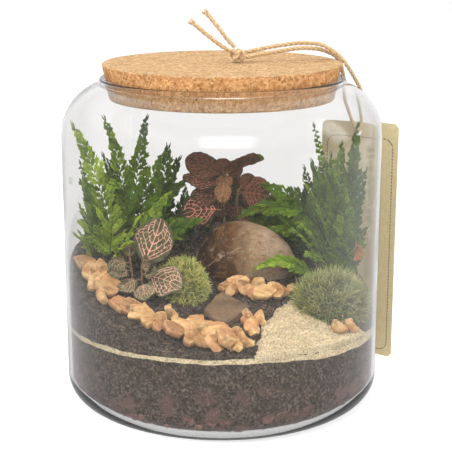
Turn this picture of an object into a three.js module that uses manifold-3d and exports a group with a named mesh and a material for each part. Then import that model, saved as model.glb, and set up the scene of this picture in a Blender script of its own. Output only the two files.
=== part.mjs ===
// Glass plant terrarium: a jar with a cork stopper, filled with pebbles, soil and sand, and planted
// with ferns, net-veined leafy plants and moss round a boulder. A card tag hangs from it by a cord.
// Millimetres, +Z up. The origin is the middle of the jar's flat base, and the front is towards -Y.
import * as THREE from "three";
import { mergeVertices } from "three/addons/utils/BufferGeometryUtils.js";
import Module from "manifold-3d";

const wasm = await Module();
wasm.setup();

// Driving dimensions
const gap = 0.3; // clearance between pieces that touch
const facets = 32; // sides of the jar, the stopper and the layers
const jar = {
  radius: 115,
  wall: 2.2,
  floor: 4,
  baseCorner: 17.65,
  wallTop: 193.7,
  shoulder: 39,
  shoulderEnd: 74,
  lipTop: 234.9,
  lipRadius: 87.2,
  throat: 83.4,
};
const stopper = { bottom: 220, top: 244.9, bottomRadius: 80.1, topRadius: 85.4, edge: 0.9 };
const twine = { thick: 3, sides: 8, knot: 5.6, turn: 1.7 };
const card = { width: 65, height: 188, thick: 0.6, bow: 2.2, corner: 3, hole: 3.6, holeDrop: 8 };
const drainage = { top: 20, pebbles: 14, pebble: 8.4, pebbleRise: 8 };
const sand = { thick: 3.4, heapProud: 1.8 };
const soil = { thinnest: 1.2, rootDepth: 8, stalkHole: 1.35, stemHole: 0.65 };
const blade = { half: 0.32, ribHalf: 0.5, ribWidth: 0.62, cup: 0.012 };
const leaflet = { toothed: 14, plain: 5 }; // reach above which it has teeth, or a shoulder
const moss = { tuft: 6.5, bury: 3, stand: 0.18, seatRoom: 2 };
const chip = { half: 2, corners: 5, size: 10, curl: 2.4 };

const degrees = Math.PI / 180;
const innerRadius = jar.radius - jar.wall;
const fillRadius = innerRadius - gap - 0.05;

// A seeded draw, so that the same part is made each time
function drawer(seed) {
  let state = seed;
  return (low = 0, high = 1) => {
    state = (state * 1664525 + 1013904223) % 4294967296;
    return low + ((high - low) * state) / 4294967296;
  };
}

const vec = (x, y, z) => new THREE.Vector3(x, y, z);
const flat = (x, y) => new THREE.Vector2(x, y);
const mix = (a, b, share) => a + (b - a) * share;
const clamp = (value, low, high) => Math.min(high, Math.max(low, value));

// Solids: a closed geometry becomes one that can be joined and cut, and goes back again
function solidOf(geometry) {
  const loose = geometry.index ? geometry.toNonIndexed() : geometry.clone();
  const bare = new THREE.BufferGeometry();
  bare.setAttribute("position", loose.getAttribute("position"));
  const merged = mergeVertices(bare, 1e-3);
  const mesh = new wasm.Mesh({
    numProp: 3,
    vertProperties: merged.attributes.position.array,
    triVerts: new Uint32Array(merged.index.array),
  });
  return new wasm.Manifold(mesh);
}

function geometryOf(solid) {
  const mesh = solid.getMesh();
  const geometry = new THREE.BufferGeometry();
  geometry.setAttribute("position", new THREE.BufferAttribute(mesh.vertProperties, 3));
  geometry.setIndex(new THREE.BufferAttribute(mesh.triVerts, 1));
  return geometry.toNonIndexed();
}

function joined(geometries) {
  return geometries.map(solidOf).reduce((whole, piece) => whole.add(piece));
}

// The largest body of a cut solid: loose scraps are dropped
function mainBody(solid) {
  const bodies = solid.decompose();
  return bodies.reduce((best, body) => (body.volume() > best.volume() ? body : best));
}

function geometryFrom(positions, index) {
  const geometry = new THREE.BufferGeometry();
  geometry.setAttribute("position", new THREE.Float32BufferAttribute(positions, 3));
  geometry.setIndex(index);
  return geometry;
}

// Points along an arc in the plane of a lathe profile
function arc(centreX, centreY, radius, from, to, steps) {
  const points = [];
  for (let i = 0; i <= steps; i++) {
    const angle = mix(from, to, i / steps) * degrees;
    points.push(flat(centreX + radius * Math.cos(angle), centreY + radius * Math.sin(angle)));
  }
  return points;
}

// A thin closed plate: place() bends a flat pattern of triangles and says how thick it is
function plate(pattern, place) {
  const count = pattern.points.length;
  const spots = pattern.points.map(place);
  const positions = [];
  for (const side of [1, -1])
    for (const { at, normal, half } of spots)
      positions.push(...at.clone().addScaledVector(normal, side * half).toArray());
  const index = [];
  const edges = new Map();
  for (const [a, b, c] of pattern.faces) {
    index.push(a, b, c, count + a, count + c, count + b);
    for (const [from, to] of [[a, b], [b, c], [c, a]]) edges.set(`${from} ${to}`, [from, to]);
  }
  for (const [from, to] of edges.values())
    if (!edges.has(`${to} ${from}`))
      index.push(to, from, count + from, to, count + from, count + to);
  return geometryFrom(positions, index);
}

// A flat grid of points, rows along x, with the half width given for each row
function gridPattern(rows, columns) {
  const points = [];
  const faces = [];
  for (const { x, half } of rows)
    for (let j = 0; j <= columns; j++) points.push(flat(x, mix(-half, half, j / columns)));
  const wide = columns + 1;
  for (let i = 0; i + 1 < rows.length; i++)
    for (let j = 0; j < columns; j++) {
      const corner = i * wide + j;
      faces.push([corner, corner + wide, corner + wide + 1]);
      faces.push([corner, corner + wide + 1, corner + 1]);
    }
  return { points, faces };
}

// A frame that follows an arc rising from the base: it starts at the elevation rise and ends at
// fall, in the upright plane that faces turn, and roll twists the blade about it
function archFrame({ base, turn, rise, fall, length, roll = 0 }) {
  const start = rise * degrees;
  const bend = (fall - rise) * degrees;
  const out = vec(Math.cos(turn * degrees), Math.sin(turn * degrees), 0);
  const side = vec(-out.y, out.x, 0);
  return (u) => {
    const share = clamp(u / length, 0, 1);
    const angle = start + bend * share;
    const along = out.clone().multiplyScalar(Math.cos(angle)).add(vec(0, 0, Math.sin(angle)));
    const run = (length * (Math.sin(angle) - Math.sin(start))) / bend;
    const climb = (-length * (Math.cos(angle) - Math.cos(start))) / bend;
    const at = base.clone().addScaledVector(out, run).add(vec(0, 0, climb));
    at.addScaledVector(along, u - share * length);
    const up = along.clone().cross(side);
    const twist = roll * degrees;
    const across = side.clone().multiplyScalar(Math.cos(twist)).addScaledVector(up, Math.sin(twist));
    return { at, along, across, normal: along.clone().cross(across) };
  };
}

// A tube along hand-set points
function tube(points, radius, sides, step) {
  const path = new THREE.CatmullRomCurve3(points);
  const section = new THREE.Shape();
  for (let i = 0; i < sides; i++) {
    const angle = (2 * Math.PI * i) / sides;
    const spot = flat(radius * Math.cos(angle), radius * Math.sin(angle));
    if (i === 0) section.moveTo(spot.x, spot.y);
    else section.lineTo(spot.x, spot.y);
  }
  const steps = Math.max(2, Math.round(path.getLength() / step));
  return new THREE.ExtrudeGeometry(section, { steps, extrudePath: path, bevelEnabled: false });
}

// Surfaces of the layers. The sand line on the glass is lower at the sides than at the front.
function sandBase(x) {
  return 59.2 - 0.0003 * x * x;
}

function sandTop(x) {
  return sandBase(x) + sand.thick;
}

function soilTop(x, y) {
  const slope = 58 + 0.21 * (y + innerRadius);
  const leftBank = 0.2 * Math.max(0, -x - 12);
  const rightDip = 0.18 * Math.max(0, x - 50);
  return Math.max(slope + leftBank - rightDip, sandTop(x) + gap + soil.thinnest);
}

// The jar, lathed as one wall with an open throat
function glassJar() {
  const inner = innerRadius;
  const corner = jar.baseCorner - jar.wall;
  const shoulderCentre = jar.radius - jar.shoulder;
  const innerShoulder = jar.shoulder - jar.wall;
  const throatAngle = Math.acos((jar.throat - shoulderCentre) / innerShoulder) / degrees;
  const profile = [
    flat(0, 0),
    ...arc(jar.radius - jar.baseCorner, jar.baseCorner, jar.baseCorner, -90, 0, 3),
    ...arc(shoulderCentre, jar.wallTop, jar.shoulder, 0, jar.shoulderEnd, 3),
    flat(jar.lipRadius, jar.lipTop - 2.2),
    flat(jar.lipRadius - 1.2, jar.lipTop - 0.2),
    flat(jar.throat + 0.8, jar.lipTop),
    flat(jar.throat, jar.lipTop - 1.6),
    ...arc(shoulderCentre, jar.wallTop, innerShoulder, throatAngle, 0, 3),
    ...arc(inner - corner, jar.floor + corner, corner, 0, -90, 3),
    flat(0, jar.floor),
  ];
  return lathe(profile);
}

function lathe(profile) {
  const turned = new THREE.LatheGeometry(profile, facets);
  return turned.rotateX(90 * degrees);
}

function corkStopper() {
  const { bottom, top, bottomRadius, topRadius, edge } = stopper;
  return lathe([
    flat(0, bottom),
    flat(bottomRadius, bottom),
    flat(topRadius - edge * 0.2, top - edge),
    flat(topRadius - edge * 1.2, top),
    flat(0, top),
  ]);
}

// A layer that fills the jar between two height functions
function layer(floorAt, topAt) {
  const radius = fillRadius;
  const shares = [0.4, 0.72, 1];
  const positions = [];
  const index = [];
  const rings = shares.length;
  for (const heightAt of [topAt, floorAt]) {
    positions.push(0, 0, heightAt(0, 0));
    for (const share of shares)
      for (let i = 0; i < facets; i++) {
        const angle = (2 * Math.PI * i) / facets;
        const x = radius * share * Math.cos(angle);
        const y = radius * share * Math.sin(angle);
        positions.push(x, y, heightAt(x, y));
      }
  }
  const under = 1 + rings * facets;
  const spot = (ring, i) => 1 + ring * facets + (i % facets);
  for (let i = 0; i < facets; i++) {
    index.push(0, spot(0, i), spot(0, i + 1));
    index.push(under, under + spot(0, i + 1), under + spot(0, i));
    for (let ring = 0; ring + 1 < rings; ring++) {
      const [a, b] = [spot(ring, i), spot(ring, i + 1)];
      const [c, d] = [spot(ring + 1, i), spot(ring + 1, i + 1)];
      index.push(a, c, d, a, d, b);
      index.push(under + a, under + d, under + c, under + a, under + b, under + d);
    }
    const [a, b] = [spot(rings - 1, i), spot(rings - 1, i + 1)];
    index.push(a, under + a, under + b, a, under + b, b);
  }
  return geometryFrom(positions, index);
}

// Drainage: a bed of pebbles, whose outer ones show through the glass
function pebbleSpots() {
  const draw = drawer(11);
  const spots = [];
  for (let i = 0; i < drainage.pebbles; i++) {
    const angle = (2 * Math.PI * (i + draw(-0.25, 0.25))) / drainage.pebbles;
    const size = drainage.pebble * draw(0.8, 1.15);
    const reach = fillRadius - size - draw(0.6, 2.5);
    const at = vec(reach * Math.cos(angle), reach * Math.sin(angle), 0);
    at.z = 15 + draw(0, drainage.pebbleRise);
    spots.push({ at, size, spin: draw(0, 3) });
  }
  return spots;
}

function pebble({ at, size, spin }, grow) {
  const stone = new THREE.IcosahedronGeometry(size + grow, 0);
  stone.rotateX(spin).rotateZ(2 * spin).scale(1, 1, 0.8);
  return stone.translate(at.x, at.y, at.z);
}

const pebbleList = pebbleSpots();

function drainagePebbles() {
  const low = jar.floor + gap;
  const bed = lathe([
    flat(0, low),
    flat(fillRadius - 15.5, low),
    flat(fillRadius - 4.5, low + 8),
    flat(fillRadius - 4.5, drainage.top),
    flat(0, drainage.top),
  ]);
  return joined([bed, ...pebbleList.map((spot) => pebble(spot, 0))]);
}

function lowerSoil() {
  const whole = solidOf(layer(() => drainage.top + gap, (x) => sandBase(x) - gap));
  return mainBody(whole.subtract(joined(pebbleList.map((spot) => pebble(spot, gap * 1.3)))));
}

// The heap of sand that comes up through the soil at the front right
const heapOutline = [
  flat(24, -92),
  flat(23, -118),
  flat(60, -112),
  flat(90, -84),
  flat(108, -56),
  flat(97, -50),
  flat(76, -53),
  flat(60, -36),
  flat(51, -25),
  flat(40, -36),
  flat(27, -62),
];

function sandHeap(grow) {
  const middle = heapOutline
    .reduce((sum, spot) => sum.add(spot), flat(0, 0))
    .divideScalar(heapOutline.length);
  const count = heapOutline.length;
  const positions = [];
  const index = [];
  for (const spot of heapOutline) {
    const away = spot.clone().sub(middle).normalize();
    const top = spot.clone().addScaledVector(away, grow);
    const foot = spot.clone().addScaledVector(away, grow + 1.5);
    positions.push(top.x, top.y, soilTop(spot.x, spot.y) + 0.4 + grow);
    positions.push(foot.x, foot.y, sandBase(spot.x) + 1);
  }
  const crown = 2 * count;
  positions.push(middle.x, middle.y, soilTop(middle.x, middle.y) + sand.heapProud + grow);
  positions.push(middle.x, middle.y, sandBase(middle.x) + 1);
  for (let i = 0; i < count; i++) {
    const [a, b] = [2 * i, 2 * ((i + 1) % count)];
    index.push(crown, a, b, crown + 1, b + 1, a + 1, a, a + 1, b + 1, a, b + 1, b);
  }
  const filled = solidOf(layer(() => 0, () => jar.wallTop));
  return solidOf(geometryFrom(positions, index)).intersect(filled);
}

// Stones
function lumpy(geometry, seed, depth) {
  const draw = drawer(seed);
  const waves = [0, 1, 2].map(() => vec(draw(1.5, 3), draw(1.5, 3), draw(1.5, 3)));
  const spots = geometry.getAttribute("position");
  const spot = vec(0, 0, 0);
  for (let i = 0; i < spots.count; i++) {
    spot.fromBufferAttribute(spots, i);
    const swell = waves.reduce((sum, wave) => sum + Math.sin(wave.dot(spot)), 0);
    spot.multiplyScalar(1 + (depth * swell) / waves.length);
    spots.setXYZ(i, spot.x, spot.y, spot.z);
  }
  return geometry;
}

const boulder = { x: 16, y: 13, z: 97, half: vec(37, 19, 26), tilt: -6 };

function boulderShape(grow) {
  const stone = lumpy(new THREE.SphereGeometry(1, 12, 8).rotateX(90 * degrees), 5, 0.09);
  stone.scale(boulder.half.x + grow, boulder.half.y + grow, boulder.half.z + grow);
  stone.rotateY(-boulder.tilt * degrees);
  return stone.translate(boulder.x, boulder.y, boulder.z);
}

// The flat stone is a tilted slab with broken edges
const slab = { x: 3, y: -45, half: 4, turn: 0, lean: 4, sideLean: -2 };
const slabOutline = [
  flat(-16, -1),
  flat(-8, 15),
  flat(-3, 22),
  flat(17, 2),
  flat(15, -4),
  flat(-1, -21),
  flat(-9, -15),
];

// A flat piece that lies along the slope of the soil with some lean of its own, and may be curled
function flatPiece(outline, { x, y, lift, half, turn, lean, sideLean, curl = 0, grow = 0 }) {
  const reach = Math.max(...outline.map((spot) => spot.length()));
  const points = outline.map((spot) => spot.clone().setLength(spot.length() + grow));
  const faces = THREE.ShapeUtils.triangulateShape(outline, []);
  const step = 4;
  const slopeX = (soilTop(x + step, y) - soilTop(x - step, y)) / (2 * step);
  const slopeY = (soilTop(x, y + step) - soilTop(x, y - step)) / (2 * step);
  const up = vec(-slopeX, -slopeY, 1).normalize();
  const lie = new THREE.Quaternion().setFromUnitVectors(vec(0, 0, 1), up);
  const tilt = new THREE.Euler(lean * degrees, sideLean * degrees, turn * degrees, "YXZ");
  lie.multiply(new THREE.Quaternion().setFromEuler(tilt));
  const normal = vec(0, 0, 1).applyQuaternion(lie);
  const centre = vec(x, y, soilTop(x, y)).addScaledVector(up, lift);
  return plate({ points, faces }, (spot) => {
    const rise = curl * (spot.x / reach) ** 2;
    const at = vec(spot.x, spot.y, rise).applyQuaternion(lie).add(centre);
    return { at, normal, half: half + grow };
  });
}

function slabShape(grow) {
  const outline = slabOutline.slice().reverse();
  return flatPiece(outline, { ...slab, lift: 1.5, grow });
}

// Chips of bark, strewn along trails and overlapping their neighbours
function chipTrail({ path, count, rows = 1, spread = 0, seed, size = 1, clear = 0.5 }) {
  const draw = drawer(seed);
  const line = new THREE.CatmullRomCurve3(path.map(([x, y]) => vec(x, y, 0)));
  const trail = [];
  for (let i = 0; i < count; i++) {
    const at = line.getPointAt(count === 1 ? 0 : i / (count - 1));
    const ahead = line.getTangentAt(count === 1 ? 0 : i / (count - 1));
    const shift = rows > 1 ? spread * ((i % rows) / (rows - 1) - 0.5) : draw(-spread, spread);
    const outline = [];
    for (let k = 0; k < chip.corners; k++) {
      const angle = (2 * Math.PI * (k + draw(-0.22, 0.22))) / chip.corners;
      const reach = size * chip.size * draw(0.8, 1.2) * (k % 3 ? 1 : 1.15);
      outline.push(flat(reach * Math.cos(angle), 0.8 * reach * Math.sin(angle)));
    }
    const lean = draw(-13, 13);
    const sideLean = draw(-13, 13);
    const tipping = size * chip.size * Math.sin(Math.hypot(lean, sideLean) * degrees);
    trail.push({
      outline,
      x: at.x - ahead.y * shift,
      y: at.y + ahead.x * shift,
      lift: chip.half + clear + tipping + draw(0, 1),
      half: chip.half,
      turn: draw(0, 360),
      lean,
      sideLean,
      curl: chip.curl,
    });
  }
  return trail;
}

const chipTrails = {
  chips_left_bank: chipTrail({
    path: [[-95, -14], [-92, -25], [-86, -37], [-80, -45]],
    count: 7,
    rows: 2,
    spread: 8,
    seed: 21,
  }),
  chips_left_trail: chipTrail({
    path: [[-70, -62], [-57, -68], [-44, -74]],
    count: 5,
    spread: 2,
    seed: 33,
    clear: -0.8,
  }),
  chips_front: chipTrail({
    path: [[-31, -80], [-17, -84], [-4, -88], [9, -90]],
    count: 11,
    rows: 3,
    spread: 15,
    seed: 50,
    clear: 1.6,
  }),
  chips_front_right: chipTrail({
    path: [[20, -63], [20, -69]],
    count: 2,
    seed: 52,
    size: 0.75,
    clear: -0.7,
  }),
  chips_by_boulder: chipTrail({
    path: [[5, -12], [15, -15], [27, -20], [38, -24]],
    count: 6,
    rows: 2,
    spread: 6,
    seed: 61,
    size: 0.9,
  }),
  chip_right: chipTrail({
    path: [[79, -63], [88, -60]],
    count: 1,
    seed: 74,
    size: 0.7,
    clear: 1.2,
  }),
};

function chipGroup(trail) {
  return joined(trail.map((piece) => flatPiece(piece.outline, piece)));
}

// Moss: a dome whose faces each rise into a tuft
const mossCushions = {
  moss_left: { x: -28.5, y: -24, half: vec(17, 15, 21), detail: 3, seed: 80 },
  moss_right: { x: 80, y: -30, half: vec(20, 18, 24), detail: 3, seed: 81 },
  moss_back: { x: 45, y: 56, half: vec(15, 13, 24), detail: 3, seed: 82 },
};

// A point of the dome. Its underside is flat, a little way down in the soil.
function mossSpot({ x, y, half }, direction, grow) {
  const spot = direction.clone().multiply(half.clone().addScalar(grow));
  spot.add(vec(x, y, soilTop(x, y) + half.z * moss.stand));
  spot.z = Math.max(spot.z, soilTop(spot.x, spot.y) - moss.bury - grow);
  return spot;
}

function mossShape(cushion) {
  const draw = drawer(cushion.seed);
  const sphere = new THREE.IcosahedronGeometry(1, cushion.detail).getAttribute("position");
  const positions = [];
  for (let i = 0; i < sphere.count; i += 3) {
    const corners = [0, 1, 2].map((k) => vec(0, 0, 0).fromBufferAttribute(sphere, i + k));
    const middle = corners[0].clone().add(corners[1]).add(corners[2]).normalize();
    const [a, b, c] = corners.map((corner) => mossSpot(cushion, corner, 0));
    const root = mossSpot(cushion, middle, 0);
    if (root.z < soilTop(root.x, root.y) + 3) {
      positions.push(...a.toArray(), ...b.toArray(), ...c.toArray());
      continue;
    }
    const outward = middle.clone().divide(cushion.half).normalize().add(vec(0, 0, 0.25));
    const tip = root.addScaledVector(outward, moss.tuft * draw(0.7, 1.15));
    for (const [from, to] of [[a, b], [b, c], [c, a]])
      positions.push(...from.toArray(), ...to.toArray(), ...tip.toArray());
  }
  const geometry = new THREE.BufferGeometry();
  geometry.setAttribute("position", new THREE.Float32BufferAttribute(positions, 3));
  return geometry;
}

// The shallow oval seat of a cushion
function mossSeat({ x, y, half }) {
  const outline = [];
  const corners = 12;
  const [wide, deep] = [half.x + moss.seatRoom, half.y + moss.seatRoom];
  for (let i = 0; i < corners; i++) {
    const angle = (2 * Math.PI * i) / corners;
    outline.push(flat(wide * Math.cos(angle), deep * Math.sin(angle)));
  }
  const sunk = moss.bury + moss.seatRoom;
  const seat = { x, y, lift: 4 - sunk / 2, half: 4 + sunk / 2, turn: 0, lean: 0, sideLean: 0 };
  return flatPiece(outline, seat);
}

// Ferns: an arched blade whose leaflets are cut to the rib, on a bare stalk that stands in the soil
function leafletOutline(start, end, reach, slant) {
  const wide = (end.x - start.x) / 2;
  const middle = (start.x + end.x) / 2;
  const along = flat(Math.cos(slant), Math.sin(slant));
  const across = flat(-along.y, along.x);
  const lowest = start.y + 0.12 * reach;
  const spot = (share, off) => {
    const at = flat(middle, start.y).addScaledVector(along, share * reach);
    at.addScaledVector(across, off * wide);
    return flat(at.x, Math.max(at.y, lowest));
  };
  const point = spot(1, 0);
  if (reach > leaflet.toothed) {
    const front = [spot(0.42, -1), spot(0.6, -0.45)];
    const rear = [spot(0.6, 0.45), spot(0.42, 1)];
    return [end, ...front, point, ...rear, start];
  }
  if (reach > leaflet.plain) return [end, spot(0.5, -0.85), point, spot(0.5, 0.85), start];
  return [end, point, start];
}

function frondPattern({ length, stalk, reach, pairs }) {
  const points = [];
  const faces = [];
  const put = (x, y) => points.push(flat(x, y)) - 1;
  const bladeStart = length * stalk;
  const pitch = (length - bladeStart) / (pairs + 0.7);
  const ribAt = (u) => blade.ribWidth * mix(1, 0.55, clamp(u / length, 0, 1));
  const rows = [-soil.rootDepth, 0];
  const stalkRows = Math.max(1, Math.round(bladeStart / 18));
  for (let i = 1; i < stalkRows; i++) rows.push((bladeStart * i) / stalkRows);
  for (let i = 0; i < pairs; i++)
    rows.push(bladeStart + (i + 0.06) * pitch, bladeStart + (i + 0.86) * pitch);
  const left = rows.map((u) => put(u, ribAt(u)));
  const right = rows.map((u) => put(u, -ribAt(u)));
  for (let i = 0; i + 1 < rows.length; i++) {
    faces.push([right[i], right[i + 1], left[i + 1]]);
    faces.push([right[i], left[i + 1], left[i]]);
  }
  const last = rows.length - 1;
  const tip = put(length, 0);
  faces.push([right[last], tip, left[last]]);
  const first = rows.length - 2 * pairs;
  for (let i = 0; i < pairs; i++) {
    const share = i / pairs;
    const long = reach * Math.sin(Math.PI * mix(0.24, 0.97, share));
    const slant = mix(66, 42, share) * degrees;
    const [low, high] = [first + 2 * i, first + 2 * i + 1];
    const outline = leafletOutline(points[left[low]], points[left[high]], long, slant);
    const inner = outline.slice(1, -1);
    const triangles = THREE.ShapeUtils.triangulateShape(outline, []);
    for (const side of [1, -1]) {
      const ends = side > 0 ? [left[low], left[high]] : [right[low], right[high]];
      const ids = [ends[1], ...inner.map((spot) => put(spot.x, side * spot.y)), ends[0]];
      for (const triangle of triangles) {
        const [a, b, c] = triangle.map((k) => ids[k]);
        const turnsLeft = points[b].clone().sub(points[a]).cross(points[c].clone().sub(points[a])) > 0;
        faces.push(turnsLeft ? [a, b, c] : [a, c, b]);
      }
    }
  }
  return { points, faces };
}

function frondShape(frond) {
  const base = vec(frond.x, frond.y, soilTop(frond.x, frond.y));
  const frame = archFrame({ ...frond, base });
  return plate(frondPattern(frond), (spot) => {
    const { at, across, normal } = frame(spot.x);
    const off = Math.abs(spot.y);
    at.addScaledVector(across, spot.y).addScaledVector(normal, -blade.cup * off * off);
    return { at, normal, half: off > 1 ? blade.half : blade.ribHalf };
  });
}

// turn is the side it leans to, rise and fall are its slope at the foot and at the tip, reach is
// its longest leaflet, and roll twists the blade to the light
const fronds = [
  { name: "fern_left_1", x: -79, y: 2, turn: 182, rise: 86, fall: 63,
    length: 110, reach: 20, pairs: 9, roll: -78, stalk: 0.2 },
  { name: "fern_left_2", x: -70, y: 18, turn: 172, rise: 92, fall: 70,
    length: 108, reach: 19, pairs: 9, roll: -74, stalk: 0.22 },
  { name: "fern_left_3", x: -68, y: 36, turn: 8, rise: 90, fall: 76,
    length: 102, reach: 19, pairs: 9, roll: 74, stalk: 0.24 },
  { name: "fern_left_4", x: -47, y: 27, turn: 20, rise: 90, fall: 80,
    length: 86, reach: 14, pairs: 5, roll: 76, stalk: 0.5 },
  { name: "fern_left_5", x: -91, y: -8, turn: 190, rise: 90, fall: 74,
    length: 80, reach: 8, pairs: 7, roll: -66, stalk: 0.3 },
  { name: "fern_left_6", x: -90, y: 16, turn: 160, rise: 84, fall: 60,
    length: 46, reach: 12, pairs: 5, roll: -70, stalk: 0.2 },
  { name: "fern_left_7", x: -82, y: -8, turn: 286, rise: 84, fall: 44,
    length: 56, reach: 16, pairs: 6, roll: 14, stalk: 0.24 },
  { name: "fern_left_8", x: -58, y: 14, turn: 352, rise: 66, fall: 8,
    length: 58, reach: 15, pairs: 7, roll: 56, stalk: 0.22 },
  { name: "fern_right_1", x: 84, y: 28, turn: 184, rise: 98, fall: -34,
    length: 106, reach: 20, pairs: 9, roll: -36, stalk: 0.22 },
  { name: "fern_right_2", x: 85, y: 50, turn: 168, rise: 90, fall: 78,
    length: 118, reach: 8, pairs: 8, roll: -70, stalk: 0.36 },
  { name: "fern_right_3", x: 97, y: 22, turn: 340, rise: 92, fall: 84,
    length: 120, reach: 10, pairs: 8, roll: 74, stalk: 0.2 },
  { name: "fern_right_4", x: 90, y: 38, turn: 20, rise: 92, fall: 86,
    length: 98, reach: 13, pairs: 8, roll: 70, stalk: 0.2 },
  { name: "fern_right_5", x: 76, y: 66, turn: 176, rise: 88, fall: 60,
    length: 84, reach: 12, pairs: 5, roll: -64, stalk: 0.34 },
  { name: "fern_right_6", x: 88, y: 8, turn: 262, rise: 82, fall: 20,
    length: 58, reach: 17, pairs: 5, roll: -10, stalk: 0.2 },
  { name: "fern_right_7", x: 74, y: -4, turn: 190, rise: 72, fall: -30,
    length: 62, reach: 13, pairs: 7, roll: -30, stalk: 0.2 },
  { name: "fern_right_8", x: 74, y: 16, turn: 222, rise: 84, fall: 20,
    length: 58, reach: 16, pairs: 6, roll: -30, stalk: 0.2 },
  { name: "fern_right_9", x: 93, y: 15, turn: 350, rise: 92, fall: 80,
    length: 64, reach: 12, pairs: 5, roll: 70, stalk: 0.22 },
];

// A plain hole in the soil for a stalk that leans
function stalkHole({ x, y, turn, rise, radius }) {
  const slope = { base: vec(x, y, soilTop(x, y)), turn, rise, fall: rise - 1, length: 1 };
  const { at, along } = archFrame(slope)(0);
  const deep = soil.rootDepth + 2 * gap;
  const long = 2 * deep + 2;
  const hole = new THREE.CylinderGeometry(radius, radius, long, 5);
  hole.applyQuaternion(new THREE.Quaternion().setFromUnitVectors(vec(0, 1, 0), along));
  const middle = at.addScaledVector(along, long / 2 - deep);
  return hole.translate(middle.x, middle.y, middle.z);
}

// Net-veined leaves: an oval blade on a short stalk, folded at the rib, quilted between its veins
const leafSteps = 4;

function leafPattern({ length, width, stem }) {
  const steps = leafSteps;
  const rows = [{ x: -stem, half: 0.55 }, { x: 0, half: 0.6 }];
  for (let i = 1; i <= steps; i++) {
    const share = i / steps;
    const swell = Math.sin(Math.PI * Math.pow(share, 0.82));
    rows.push({ x: length * share, half: i < steps ? width * Math.pow(swell, 0.55) : 0.35 });
  }
  return gridPattern(rows, 4);
}

function leafShape(leaf, base) {
  const pitch = leaf.length / leafSteps;
  const frame = archFrame({ ...leaf, base, length: leaf.length + leaf.stem });
  return plate(leafPattern(leaf), (spot) => {
    const { at, across, normal } = frame(spot.x + leaf.stem);
    const off = Math.abs(spot.y) / leaf.width;
    const onBlade = spot.x > 0 ? 1 : 0;
    const fold = 0.22 * Math.abs(spot.y) - 0.9 * off * off;
    const quilt = 0.45 * Math.cos((Math.PI * spot.x) / pitch) * (off > 0.25 ? 1 : 0);
    at.addScaledVector(across, spot.y).addScaledVector(normal, onBlade * (fold + quilt));
    return { at, normal, half: onBlade ? blade.half + 0.03 : 0.55 };
  });
}

function leafyStem({ x, y, turn, rise, length, thick, leaves }) {
  const base = vec(x, y, soilTop(x, y));
  const frame = archFrame({ base, turn, rise, fall: rise - 4, length });
  const route = [-soil.rootDepth, 0, length * 0.5, length].map((u) => frame(u).at);
  const stalk = tube(route, thick, 5, 12);
  const blades = leaves.map((leaf) => leafShape(leaf, frame(leaf.at * length).at));
  return joined([stalk, ...blades]);
}

const leafyStems = [
  {
    name: "netleaf_front_1",
    x: -57,
    y: -30,
    turn: 270,
    rise: 84,
    length: 20,
    thick: 1,
    leaves: [
      { at: 0.95, turn: 354, rise: 62, fall: 74, length: 33, width: 11.6, stem: 4, roll: -86 },
      { at: 0.8, turn: 296, rise: 45, fall: 25, length: 15, width: 6.6, stem: 4, roll: 88 },
      { at: 0.4, turn: 314, rise: 11, fall: -17, length: 21, width: 9.4, stem: 7, roll: 36 },
      { at: 0.5, turn: 240, rise: 12, fall: -16, length: 14, width: 8, stem: 6, roll: -17 },
    ],
  },
  {
    name: "netleaf_front_2",
    x: -64,
    y: -24,
    turn: 200,
    rise: 86,
    length: 18,
    thick: 0.9,
    leaves: [
      { at: 0.98, turn: 101, rise: 59, fall: 71, length: 12, width: 7.6, stem: 4, roll: -16 },
      { at: 0.94, turn: 226, rise: 14, fall: -20, length: 15, width: 7.2, stem: 5, roll: -23 },
    ],
  },
  {
    name: "netleaf_back_1",
    x: 2,
    y: 42,
    turn: 262,
    rise: 87,
    length: 66,
    thick: 1.2,
    leaves: [
      { at: 0.97, turn: 173, rise: 33, fall: 13, length: 26, width: 8.6, stem: 4, roll: -52 },
      { at: 0.99, turn: 14, rise: 32, fall: 8, length: 28, width: 6.5, stem: 5, roll: 43 },
      { at: 0.84, turn: 190, rise: 27, fall: 3, length: 27, width: 8.5, stem: 5, roll: -36 },
      { at: 0.74, turn: 264, rise: 71, fall: 43, length: 19, width: 8.2, stem: 4, roll: 9 },
      { at: 0.56, turn: 203, rise: 16, fall: -16, length: 27, width: 12.2, stem: 7, roll: -65 },
    ],
  },
  {
    name: "netleaf_back_2",
    x: 9,
    y: 51,
    turn: 320,
    rise: 87,
    length: 50,
    thick: 1.2,
    leaves: [
      { at: 0.92, turn: 344, rise: 15, fall: -17, length: 19, width: 14.5, stem: 5, roll: 62 },
      { at: 0.55, turn: 303, rise: 17, fall: -11, length: 14, width: 4, stem: 5, roll: 42 },
      { at: 0.8, turn: 92, rise: 66, fall: 54, length: 18, width: 8, stem: 4, roll: -2 },
    ],
  },
];

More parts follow.
